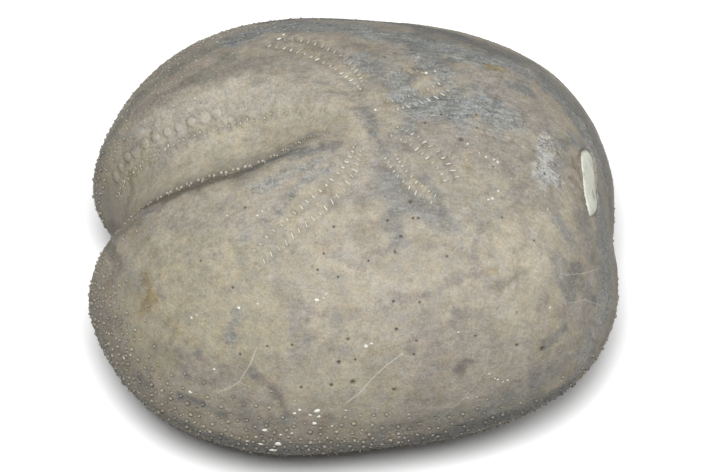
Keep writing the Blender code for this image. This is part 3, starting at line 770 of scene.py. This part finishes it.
@cache
def pore_pairs():
    """The groove's pores, as slits() gives them, and how high each filling stands."""
    ways, lies, longs, wides, fulls, highs = [], [], [], [], [], []
    for side in (-1, 1):
        middles = groove_row(side * PAIR_SHARE, PAIR_TURNS, PAIR_STEP, PAIR_STEP / 2)
        along, left = axes_at(middles, np.gradient(test_form(middles), axis=0))
        up_wall = -side * left
        grown = 0.5 + 0.5 * ease(*PAIR_GROWTH, turn_of(test_form(middles)))
        for number, (step, rise, half_long, half_wide) in enumerate(PAIR_DOTS[side]):
            ways.append(moved(middles, (along * -step + up_wall * rise) * grown[:, None]))
            lies.append(up_wall)
            longs.append(half_long * grown)
            wides.append(half_wide * grown)
            fulls.append(pick(56 + number, *PAIR_CHALK[side], len(middles)))
            highs.append(PAIR_HEIGHT[side] * grown)
    rows = (ways, lies, longs, wides, fulls, highs)
    return unevened(rows, PAIR_SEEDS, PAIR_LEAN, PAIR_STRETCH)


@cache
def pillows():
    rows = [groove_row(side * PILLOW_SHARE, PILLOW_TURNS, PILLOW_STEP) for side in (-1, 1)]
    ways = np.concatenate(rows)
    return moved(ways, strays(axes_at(ways), (23, 24), PILLOW_STRAY))


def spread_out(directions, points, gaps):
    """Keeps each direction whose point is no nearer to a kept one than its own gap."""
    cell = gaps[gaps < FAR].max()
    steps = list(product((-1, 0, 1), repeat=3))
    cells, kept = {}, []
    keys = np.floor(points / cell).astype(int).tolist()
    for index, (key, point, gap) in enumerate(zip(keys, points.tolist(), gaps.tolist())):
        if gap == FAR:
            continue
        a, b, c = key
        around = (other for i, j, k in steps for other in cells.get((a + i, b + j, c + k), ()))
        if all(math.dist(point, other) > gap for other in around):
            cells.setdefault((a, b, c), []).append(point)
            kept.append(index)
    return directions[kept], points[kept]


def scattered(tries, spacing, clear, blockers, seed):
    """Directions spread at random, no two points nearer than the spacing there."""
    directions = unit(np.random.default_rng(SEED + seed).normal(size=(tries, 3)))
    points = test_form(directions)
    free = nearest(tree_of(blockers), points) > clear
    return spread_out(directions[free], points[free], spacing(points[free]))


def low_share(points):
    """1 on the lower part of the sides and below, 0 above."""
    return 1 - ease(*LOW_BAND, points[:, 2] + LOW_LEAN * points[:, 0])


def rough_share(points):
    """1 where the spine bases stand close, 0 on the worn crown."""
    x, y, z = points.T
    strong, ahead, across = ROUGH_FAR_FRONT
    share = low_share(points) + strong * ease(*ahead, -x) * ease(*across, y + 0.25 * z)
    strong, ahead = ROUGH_NEAR_FRONT
    share = share + strong * ease(*ahead, -x)
    strong, outward_from, ahead = ROUGH_FAR_EDGE
    share = share + strong * ease(*outward_from, y) * ease(*ahead, -x)
    return np.clip(share, 0, 1)


def between(pair, share):
    """From the second value to the first as the share grows."""
    return pair[1] + (pair[0] - pair[1]) * share


def bare(points):
    """Where no spine stood: in the groove, the vent and the mouth."""
    holes = (vent_share(points) < BARE_VENT) | (mouth_share(points) < BARE_MOUTH)
    return holes | (groove_sink(points) > GROOVE_DEPTH / 3)


def base_spacing(points):
    return np.where(bare(points), FAR, between(BASE_SPACING, rough_share(points)))


def granule_spacing(points):
    wavelength, start = GRANULE_PATCH
    thinned = noise_at(points, wavelength) > start
    return np.where(bare(points) | thinned, FAR, between(GRANULE_SPACING, rough_share(points)))


def filler_spacing(points):
    return np.full(len(points), FILLER_SPACING)


@cache
def furniture():
    """The places on the smooth form that the scattered things keep clear of."""
    marks = placed([spot[:2] for spot in CRUMBS + PITS])
    return test_form(np.concatenate([slits()[0], pore_pairs()[0], pillows(), marks]))


@cache
def base_spots():
    """Every spot of a spine base, and whether the base still stands there."""
    ways, points = scattered(BASE_TRIES, base_spacing, BASE_CLEAR, furniture(), 11)
    return ways, rough_share(points) > pick(10, *BASE_LIMIT, len(ways))


@cache
def spine_bases():
    """The standing bases: direction, radius and height."""
    ways, standing = base_spots()
    ways = ways[standing]
    low = low_share(test_form(ways))
    radius = between(BASE_RADIUS, low) * pick(12, 0.7, 1.3, len(ways))
    return ways, radius, between(BASE_HEIGHT, low) * pick(13, 0.5, 1.35, len(ways))


@cache
def dark_dots():
    """The worn-off bases: direction, radius and darkness."""
    ways, standing = base_spots()
    ways = ways[~standing]
    darkness = DOT_DARKNESS * pick(16, 0.1, 1.0, len(ways)) ** DOT_POWER
    return ways, pick(15, *DOT_RADIUS, len(ways)), darkness


@cache
def granules():
    taken = np.concatenate([furniture(), test_form(base_spots()[0])])
    return scattered(GRANULE_TRIES, granule_spacing, GRANULE_CLEAR, taken, 14)[0]


# Tints

def stroke_gap(points, places):
    """Distance of points to the line through some places on the form."""
    line = sunk_form(placed(places))
    if len(line) == 1:
        return np.linalg.norm(points - line[0], axis=1)
    gaps = []
    for start, end in zip(line, line[1:]):
        way = end - start
        share = np.clip((points - start) @ way / (way @ way), 0, 1)
        gaps.append(np.linalg.norm(points - start - share[:, None] * way, axis=1))
    return np.min(gaps, axis=0)


def tinted(points):
    """The stone's colour and grit at points measured from the middle."""
    tint = np.tile(SWATCHES["beige"], (len(points), 1))

    def brush(swatch, weight):
        tint[:] += (np.array(SWATCHES[swatch]) - tint) * np.clip(weight, 0, 1)[:, None]

    for swatch, wavelength, start, full, strength in MOTTLES:
        brush(swatch, strength * ease(start, full, noise_at(points + wavelength, wavelength, 3)))
    ridge = np.abs(noise_at(points + 0.1, VEIN_WAVELENGTH, 3))
    brush(VEIN_SWATCH, VEIN_STRENGTH * (1 - ease(VEIN_WIDTH / 2, VEIN_WIDTH * 2, ridge)))
    strayed = points.copy()
    for wavelength, reach in RAGGED:
        for axis in range(3):
            strayed[:, axis] += reach * noise_at(points + (axis + 1) * 0.01, wavelength)
    fray = sum(reach * noise_at(points - 0.05, wavelength) for wavelength, reach in FRAY)
    for swatch, strength, radius, places in STROKES:
        depth = 1 - stroke_gap(strayed, places) / (radius * MM * STROKE_SPREAD) + fray
        brush(swatch, strength * ease(*STROKE_EDGE, depth))
    return tint


# The net of the skin: sets of points, each a direction and what it carries

def net_set(ways, lift=0.0, chalk=0.0, dark=0.0):
    def spread(value):
        return np.broadcast_to(value, len(ways)).astype(float)
    return {"way": ways, "lift": spread(lift), "chalk": spread(chalk), "dark": spread(dark)}


def joined(sets):
    return {key: np.concatenate([item[key] for item in sets]) for key in sets[0]}


def ringed(centres, radius, rings, lift=1.0, dark=1.0):
    """Rings of points round centres, for a table such as PILLOW_RINGS."""
    first, second = axes_at(centres)
    spin = np.random.default_rng(len(centres)).uniform(0, math.tau, len(centres))
    sets = []
    for reach, rise, shade, sides in rings:
        for corner in range(sides):
            angle = (spin + math.tau * corner / sides)[:, None]
            step = (np.cos(angle) * first + np.sin(angle) * second) * reach
            ways = moved(centres, step * np.broadcast_to(radius, len(centres))[:, None])
            sets.append(net_set(ways, rise * lift, 0.0, shade * dark))
    return joined(sets)


def slit_net(places, lift, shade):
    """A sunk slot for each pore, and a low rim round it. The slot gets painted shade, and the rim half as
    much.
    """
    ways, lie, long, wide = places[:4]
    first, second = axes_at(ways, lie)
    sets = []
    for share in (-0.6, 0.0, 0.6):
        sets.append(net_set(moved(ways, first * (long * share)[:, None]), -SLIT_DEPTH))
    for margin, rise, dark in ((0.0, -SLIT_DEPTH * 0.7, shade), (SLIT_RIM, lift, shade / 2)):
        for angle in np.radians(np.arange(0, 360, 45)):
            step = first * ((long + margin) * math.cos(angle))[:, None]
            step = step + second * ((wide + margin) * math.sin(angle))[:, None]
            sets.append(net_set(moved(ways, step), rise, 0.0, dark))
    return joined(sets)


def pillow_net():
    """Low pillows on the groove's walls. On the +Y wall each has a painted highlight, a pale crescent on
    one side, and a slightly chalky top; every pillow has a ring of painted shade round its foot.
    """
    ways = pillows()
    middles = test_form(ways)
    shown = ease(*PILLOW_RISE, turn_of(middles))
    height = PILLOW_HEIGHT * shown * pick(21, 0.2, 1.1, len(ways))
    radius = PILLOW_RADIUS * pick(20, 0.75, 1.15, len(ways))
    rings = ringed(ways, radius, PILLOW_RINGS, height, shown)
    offset = test_form(rings["way"]) - np.tile(middles, (len(rings["way"]) // len(ways), 1))
    reach = np.linalg.norm(offset, axis=1) / PILLOW_RADIUS
    facing = np.clip(offset @ unit(np.array(PILLOW_HIGHLIGHT_SIDE)) / PILLOW_RADIUS, 0, 1)
    glow = pick(22, 0.3, 1.0, len(ways)) * shown * (middles[:, 1] > 0)
    # The crescent is a painted highlight; inside it the top is a little chalky.
    crescent = np.maximum(facing ** 2 * bump(reach - 0.78, 0.15), PILLOW_GLOW * (reach < 0.6))
    rings["chalk"] = np.tile(glow, len(reach) // len(ways)) * crescent
    return joined([net_set(ways, height, PILLOW_GLOW * glow), rings])


def dot_net():
    ways, radius, dark = dark_dots()
    heart = net_set(ways, -0.5 * radius * dark, 0.0, dark)
    return joined([heart, ringed(ways, radius, DOT_RINGS, -0.5 * radius * dark, dark)])


def pit_net():
    ways = placed([spot[:2] for spot in PITS])
    radius = np.array([spot[2] for spot in PITS]) * MM
    heart = net_set(ways, -0.9 * radius, 0.0, 1.0)
    return joined([heart, ringed(ways, radius, PIT_RINGS, -radius)])


def line_net(places, size, chalk=0.0, dark=0.0):
    """A thin furrow along a line of places."""
    half_width, depth = size
    stops = placed(places)
    fine = unit(np.concatenate([np.linspace(a, b, 40) for a, b in zip(stops, stops[1:])]))
    ways = walked(fine, half_width * 2.0)
    heading = np.gradient(test_form(ways), axis=0) if len(ways) > 1 else np.ones((len(ways), 3))
    _, side = axes_at(ways, heading)
    sets = [net_set(ways, -depth, chalk, dark)]
    for reach, share in ((1.0, 1.0), (2.2, 0.0)):
        for sign in (-1, 1):
            edge = moved(ways, side * (half_width * reach * sign))
            sets.append(net_set(edge, 0.0, chalk * 0.5 * share, dark * 0.4 * share))
    return joined(sets)


def rim_rings(share_of, centre, shares, sides):
    """Rings round a hollow, where its share has the given values."""
    first, second, _, _ = tangents(centre, test_form)
    places = [centre]
    for share in shares:
        angles = np.linspace(0, math.tau, sides, endpoint=False)
        turn = np.cos(angles)[:, None] * first + np.sin(angles)[:, None] * second
        reach = np.full(sides, 0.1)
        for _ in range(30):
            found = share_of(test_form(unit(centre + reach[:, None] * turn)))
            reach = reach * np.clip(share / np.maximum(found, 0.05), 0.5, 1.6)
        places.append(unit(centre + reach[:, None] * turn))
    return np.concatenate(places)


def vent_rings(table):
    """Rings round the vent's middle, and the table's second column at each of their points."""
    shares, values = zip(*table)
    ways = rim_rings(vent_share, aimed_at(VENT_PLACE), shares, RIM_SIDES)
    return ways, np.concatenate([values[:1], np.repeat(values, RIM_SIDES)])


def skin_net():
    """Every point of the skin: those of its details, and fillers between them."""
    bases, base_radius, _ = spine_bases()
    sets = [slit_net(slits(), *SLIT_LOOK), slit_net(pore_pairs(), *PAIR_LOOK)]
    sets += [pillow_net(), pit_net(), dot_net()]
    sets += [line_net(places, CRACK_SIZE, dark=1.0) for places in CRACKS]
    sets += [line_net(places, SCRATCH_SIZE, chalk=pale * SCRATCH_CHALK) for pale, places in SCRATCHES]
    rims, shades = vent_rings(VENT_RINGS)
    sets.append(net_set(rims, 0.0, 0.0, shades))
    sets.append(net_set(rim_rings(mouth_share, aimed_at(MOUTH_PLACE), MOUTH_RINGS, MOUTH_SIDES)))
    sets.append(net_set(bases))
    # Each base sits in a shallow seat with painted shade round it, less low down.
    seat_and_shade = between((1.0, 0.35), low_share(test_form(bases)))
    sets.append(ringed(bases, base_radius, SEAT_RINGS, -SEAT_DEPTH * seat_and_shade, seat_and_shade))
    taken = test_form(joined(sets)["way"])
    filler, _ = scattered(FILLER_TRIES, filler_spacing, FILLER_CLEAR, taken, 22)
    sets.append(net_set(filler))
    return joined(sets)


def net_faces(directions):
    """Delaunay faces on the sphere: flat ones, seen from its lowest direction."""
    flat = directions[:, :2] / (1 + directions[:, 2:])
    result = delaunay_2d_cdt([Vector(spot) for spot in flat.tolist()], [], [], 0, 1e-9)
    origins = result[3]
    return [[origins[corner][0] for corner in face] for face in result[2]]


# Pieces

def linked(name, data):
    item = bpy.data.objects.new(name, data)
    bpy.context.scene.collection.objects.link(item)
    return item


def piece_of(name, points, faces, chalk, dark, material):
    """A smooth piece from points measured from the middle, resting on the worn underside."""
    points = np.column_stack([points[:, :2], np.maximum(points[:, 2], -WORN_FLAT)])
    mesh = bpy.data.meshes.new(name)
    mesh.from_pydata((points + np.array(MIDDLE)).tolist(), [], faces)
    for key, values in (("chalk", chalk), ("dark", dark)):
        mesh.attributes.new(key, "FLOAT", "POINT").data.foreach_set("value", values.astype(np.float32))
    tints = mesh.attributes.new("tint", "FLOAT_COLOR", "POINT")
    tints.data.foreach_set("color", tinted(points).astype(np.float32).ravel())
    mesh.shade_smooth()
    mesh.materials.append(material)
    piece = linked(name, mesh)
    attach(piece, "root")
    return piece


def closed(points, faces):
    """The faces of the net with a fan of more of them below, from its edge to the lowest point."""
    solid = bmesh.new()
    corners = [solid.verts.new(point) for point in points.tolist()]
    for face in faces:
        solid.faces.new([corners[index] for index in face])
    lowest = solid.verts.new((0, 0, -WORN_FLAT))
    for edge in [edge for edge in solid.edges if edge.is_boundary]:
        solid.faces.new((edge.verts[0], edge.verts[1], lowest))
    bmesh.ops.recalc_face_normals(solid, faces=solid.faces)
    solid.verts.index_update()
    faces = [[corner.index for corner in face.verts] for face in solid.faces]
    solid.free()
    return np.vstack([points, [0, 0, -WORN_FLAT]]), faces


def skin(material):
    net = skin_net()
    points, out = ground(net["way"])
    grain = np.random.default_rng(SEED + 9).normal(size=len(points)) * GRAIN_HEIGHT
    points, faces = closed(points + out * (net["lift"] + grain)[:, None], net_faces(net["way"]))
    chalk, dark = np.append(net["chalk"], 0), np.append(net["dark"], 0)
    piece = piece_of("urchin_skin", points, faces, chalk, dark, material)
    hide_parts(NODE)


def lenses(name, ways, halves, height, material, chalk, sides, lie=None,
           dark=0.0, square=1.0, sink=0.00004, wobble=0.12):
    """Small closed domes on the ground.

    halves are their half length and half width, chalk how chalky they are at the foot and
    at the tip, dark how much painted shade the foot gets, square below 1 makes their plan
    squarer, sink is the foot's depth, and wobble how uneven they are.
    """
    count = len(ways)
    base, out = ground(ways)
    first, second = axes_at(ways, lie)
    half_long, half_wide = (np.broadcast_to(half, count)[:, None] for half in halves)
    height = np.broadcast_to(height, count)[:, None]
    spin = np.zeros(count) if lie is not None else pick(31, 0, math.tau, count)
    rings = [base + out * height]
    pale = [np.broadcast_to(chalk[1], count)]
    for reach, lift, whiteness, shift in ((0.62, height * 0.72, (chalk[0] + chalk[1]) / 2, 0.0),
                                          (1.0, -sink, chalk[0], 0.5)):
        for corner in range(sides):
            angle = (spin + math.tau * (corner + shift) / sides)[:, None]
            swell = 1 + wobble * pick(40 + corner, -1, 1, count)[:, None]
            along = np.sign(np.cos(angle)) * np.abs(np.cos(angle)) ** square * first * half_long
            across = np.sign(np.sin(angle)) * np.abs(np.sin(angle)) ** square * second * half_wide
            rings.append(base + (along + across) * reach * swell + out * lift)
            pale.append(np.broadcast_to(whiteness, count))
    each = 1 + 2 * sides
    points = np.stack(rings, axis=1).reshape(-1, 3)
    pale = np.stack(pale, axis=1).ravel()
    around = [(side, (side + 1) % sides) for side in range(sides)]
    shape = [(0, 1 + a, 1 + b) for a, b in around]
    shape += [(1 + a, 1 + sides + a, 1 + b) for a, b in around]
    shape += [(1 + b, 1 + sides + a, 1 + sides + b) for a, b in around]
    shape.append(tuple(range(2 * sides, sides, -1)))
    starts = range(0, each * count, each)
    faces = [tuple(index + start for index in face) for start in starts for face in shape]
    darkness = np.tile(np.array([0.0] * (1 + sides) + [1.0] * sides) * dark, count)
    return piece_of(name, points, faces, pale, darkness, material)


def pore_chalk(material):
    level = np.full(len(slits()[0]), SLIT_RISE)
    both = zip((*slits(), level), pore_pairs())
    way, lie, long, wide, full, high = map(np.concatenate, both)
    lenses("pore_fillings", way, (long, wide), high, material, (full * 0.8, full), 10, lie,
           square=0.8, sink=SLIT_DEPTH)


def bases(material):
    ways, radius, height = spine_bases()
    tips = between((0.0, 0.12), low_share(test_form(ways))) + 0.3 * pick(61, 0, 1, len(ways)) ** 4
    # Painted shade round each base's foot; the tips are paler, most of all low down.
    lenses("spine_bases", ways, (radius, radius * 0.85), height, material, (0.0, tips), 8, dark=0.25)


def grains(material):
    ways = granules()
    radius = GRANULE_RADIUS * pick(62, 0.7, 1.3, len(ways))
    height = GRANULE_HEIGHT * pick(64, 0.5, 1.3, len(ways))
    tips = 0.5 * pick(63, 0, 1, len(ways)) ** 3
    lenses("granules", ways, (radius, radius), height, material, (0.0, tips), 5)


def crumbs(material):
    ways = placed([spot[:2] for spot in CRUMBS])
    radius = np.array([spot[2] for spot in CRUMBS]) * MM
    full = ease(0.00006, 0.00022, radius) * 0.6 + 0.4
    halves = (radius * 1.2, radius * 0.9)
    lenses("chalk_crumbs", ways, halves, radius * 0.4, material, (full, full), 9, wobble=0.35)


def vent_chalk(material):
    """The plug of chalk in the vent: a rough face, and a skirt down into the hollow."""
    ways, level = vent_rings(PLUG_RINGS)
    base, out = ground(ways)
    rough = sum(height * noise_at(base, wavelength) for wavelength, height in PLUG_WAVES)
    sunk = VENT_DEPTH * (1 - ease(*VENT_EDGE, vent_share(test_form(ways))))
    lift = sunk - VENT_DEPTH + PLUG_HEIGHT * level + rough * (level > 0.4)
    points = base + out * lift[:, None]
    faces = [(0, 1 + side, 1 + (side + 1) % RIM_SIDES) for side in range(RIM_SIDES)]
    for ring, side in product(range(len(PLUG_RINGS) - 1), range(RIM_SIDES)):
        inner, outer = 1 + ring * RIM_SIDES, 1 + (ring + 1) * RIM_SIDES
        after = (side + 1) % RIM_SIDES
        faces.append((inner + side, outer + side, outer + after, inner + after))
    faces.append(tuple(range(len(points) - 1, len(points) - 1 - RIM_SIDES, -1)))
    wavelength, edge, strength = PLUG_SPOTS
    spots = ease(*edge, noise_at(base + 0.02, wavelength)) * strength
    chalk = np.where(level > 0.8, 1.0 - spots, 0.75)
    piece_of("vent_filling", points, faces, chalk, spots * 0.7, material)


# Material

class Nodes:
    """A short way to lay out one material's nodes."""

    def __init__(self, name):
        self.material = bpy.data.materials.new(name)
        self.material.use_nodes = True
        self.tree = self.material.node_tree
        self.shader = self.tree.nodes["Principled BSDF"]
        self.place = self.add("ShaderNodeTexCoord").outputs["Object"]

    def add(self, kind, inputs=(), **settings):
        node = self.tree.nodes.new(kind)
        for key, value in settings.items():
            setattr(node, key, value)
        for key, value in dict(inputs).items():
            self.join(value, node.inputs[key])
        return node

    def join(self, value, socket):
        if isinstance(value, bpy.types.NodeSocket):
            self.tree.links.new(value, socket)
        else:
            socket.default_value = value

    def carried(self, name, output="Fac"):
        return self.add("ShaderNodeAttribute", attribute_name=name).outputs[output]

    def noise(self, wavelength, detail=2.0, roughness=0.5, place=None):
        inputs = {"Vector": place or self.place, "Scale": 1 / wavelength}
        inputs.update({"Detail": detail, "Roughness": roughness})
        return self.add("ShaderNodeTexNoise", inputs).outputs["Fac"]

    def fit(self, value, low, high, to_low, to_high):
        inputs = {"Value": value, "From Min": low, "From Max": high, "To Min": to_low, "To Max": to_high}
        node = self.add("ShaderNodeMapRange", inputs, interpolation_type="SMOOTHSTEP")
        return node.outputs["Result"]

    def plus(self, first, second):
        return self.add("ShaderNodeMath", {0: first, 1: second}, operation="ADD").outputs[0]

    def times(self, first, second):
        return self.add("ShaderNodeMath", {0: first, 1: second}, operation="MULTIPLY").outputs[0]

    def mix(self, factor, first, second, blend="MIX"):
        node = self.add("ShaderNodeMix", data_type="RGBA", blend_type=blend)
        shown = {socket.name: socket for socket in node.inputs if socket.enabled}
        for key, value in {"Factor": factor, "A": first, "B": second}.items():
            self.join(value, shown[key])
        return next(socket for socket in node.outputs if socket.enabled)


def stone():
    """Worn limestone: tinted, mottled at several scales, gritty where the tint says so."""
    nodes = Nodes("fossil_stone")
    tint, grit = nodes.carried("tint", "Color"), nodes.carried("tint", "Alpha")
    cloud = nodes.noise(0.0026, 4.0, 0.65)
    fleck = nodes.noise(0.00075, 4.0, 0.65)
    dust = nodes.noise(0.00024, 3.0, 0.65)
    speck = nodes.noise(0.00026, 2.0, 0.65)
    squash = nodes.add("ShaderNodeMapping", {"Vector": nodes.place, "Scale": (0.28, 1.0, 1.0)})
    streak = nodes.noise(0.00045, 3.0, 0.6, squash.outputs["Vector"])
    warmth = nodes.mix(nodes.fit(nodes.noise(0.0011, 3.0), 0.3, 0.7, 0, 1), WARM, COOL)
    colour = nodes.mix(1.0, tint, warmth, "MULTIPLY")
    gain = nodes.plus(nodes.times(nodes.fit(streak, 0.3, 0.7, -0.3, 0.3), grit), 1.0)
    gain = nodes.times(gain, nodes.fit(cloud, 0.34, 0.60, 0.86, 1.06))
    gain = nodes.times(gain, nodes.fit(fleck, 0.3, 0.64, 0.88, 1.08))
    gain = nodes.times(gain, nodes.fit(dust, 0.3, 0.7, 0.86, 1.14))
    scaled = nodes.add("ShaderNodeVectorMath", {0: colour}, operation="SCALE")
    nodes.join(gain, scaled.inputs["Scale"])
    colour = scaled.outputs["Vector"]
    bright = nodes.times(nodes.fit(speck, 0.57, 0.68, 0.0, 0.65), grit)
    colour = nodes.mix(bright, colour, BRIGHT_SPECK)
    dim = nodes.times(nodes.fit(speck, 0.44, 0.33, 0.0, 0.75), grit)
    colour = nodes.mix(dim, colour, DIM_SPECK)
    # The dark attribute darkens dots, pits and cracks, and paints shade in slots and round the feet of
    # pillows and spine bases.
    colour = nodes.mix(nodes.carried("dark"), colour, STONE_DARK)
    chalk = nodes.mix(nodes.fit(fleck, 0.3, 0.7, 0, 1), *STONE_CHALK)
    # The chalk attribute also paints the pillows' highlight.
    colour = nodes.mix(nodes.carried("chalk"), colour, chalk)
    nodes.join(colour, nodes.shader.inputs["Base Color"])
    nodes.join(nodes.fit(fleck, 0.3, 0.7, 0.60, 0.82), nodes.shader.inputs["Roughness"])
    relief = nodes.plus(fleck, nodes.times(dust, 0.55))
    relief = nodes.plus(relief, nodes.times(nodes.times(streak, grit), 0.6))
    ripple = nodes.add("ShaderNodeBump", {"Strength": 0.7, "Distance": 0.00010, "Height": relief})
    nodes.join(ripple.outputs["Normal"], nodes.shader.inputs["Normal"])
    return nodes.material


def chalk():
    """Soft white filling, slightly green, with grey flecks."""
    nodes = Nodes("chalk_filling")
    cloud = nodes.noise(0.0012, 3.0, 0.6)
    fleck = nodes.noise(0.00022, 2.0, 0.6)
    white = nodes.mix(nodes.fit(cloud, 0.3, 0.7, 0, 1), *PLUG_CHALK)
    white = nodes.mix(nodes.fit(fleck, 0.55, 0.75, 0.0, 0.35), white, CHALK_FLECK)
    colour = nodes.mix(nodes.carried("chalk"), nodes.carried("tint", "Color"), white)
    colour = nodes.mix(nodes.carried("dark"), colour, CHALK_DARK)
    nodes.join(colour, nodes.shader.inputs["Base Color"])
    nodes.join(nodes.fit(fleck, 0.3, 0.7, 0.65, 0.9), nodes.shader.inputs["Roughness"])
    ripple = nodes.add("ShaderNodeBump", {"Strength": 0.6, "Distance": 0.00004, "Height": fleck})
    nodes.join(ripple.outputs["Normal"], nodes.shader.inputs["Normal"])
    return nodes.material


# Stage

def floor():
    mesh = bpy.data.meshes.new("floor")
    corners = [(x * FLOOR_REACH, y * FLOOR_REACH, 0) for x, y in ((-1, -1), (1, -1), (1, 1), (-1, 1))]
    mesh.from_pydata(corners, [], [(0, 1, 2, 3)])
    nodes = Nodes("pale_floor")
    shade = nodes.fit(nodes.noise(0.02, 2.0), 0.3, 0.7, 0.94, 0.96)
    nodes.join(shade, nodes.shader.inputs["Base Color"])
    nodes.shader.inputs["Roughness"].default_value = 0.9
    nodes.shader.inputs["Specular IOR Level"].default_value = 0.0
    mesh.materials.append(nodes.material)
    item = linked("floor", mesh)
    item.visible_diffuse = False


def shine(name, turn, rise, size, power):
    """A round lamp one metre from the fossil."""
    data = bpy.data.lights.new(name, "AREA")
    data.shape = "DISK"
    data.size = size
    data.energy = power
    turn, rise = math.radians(turn), math.radians(rise)
    way = Vector((math.cos(rise) * math.cos(turn), math.cos(rise) * math.sin(turn), math.sin(rise)))
    item = linked(name, data)
    item.location = way
    item.rotation_euler = way.to_track_quat("Z", "Y").to_euler()


def lights():
    world = bpy.data.worlds.new("studio")
    world.use_nodes = True
    fill = world.node_tree.nodes["Background"]
    fill.inputs["Strength"].default_value = WORLD_STRENGTH
    fill.inputs["Color"].default_value = (1, 1, 1, 1)
    bpy.context.scene.world = world
    for lamp in LAMPS:
        shine(*lamp)


def camera():
    rise = math.radians(CAMERA_RISE)
    back = Vector((0, -math.cos(rise), math.sin(rise)))
    up = Vector((0, math.sin(rise), math.cos(rise)))
    aim = Vector(MIDDLE) + Vector((VIEW_SHIFT[0], 0, 0)) + up * VIEW_SHIFT[1]
    data = bpy.data.cameras.new("camera")
    data.lens = data.sensor_width * CAMERA_DISTANCE / VIEW_WIDTH
    data.clip_start = 0.01
    item = linked("camera", data)
    item.location = aim + back * CAMERA_DISTANCE
    item.rotation_euler = back.to_track_quat("Z", "Y").to_euler()
    bpy.context.scene.camera = item


def dress():
    rock, white = stone(), chalk()
    skin(rock)
    bases(rock)
    grains(rock)
    pore_chalk(white)
    crumbs(white)
    vent_chalk(white)


dress()
floor()
lights()
camera()
bpy.context.scene.view_settings.view_transform = "Standard"
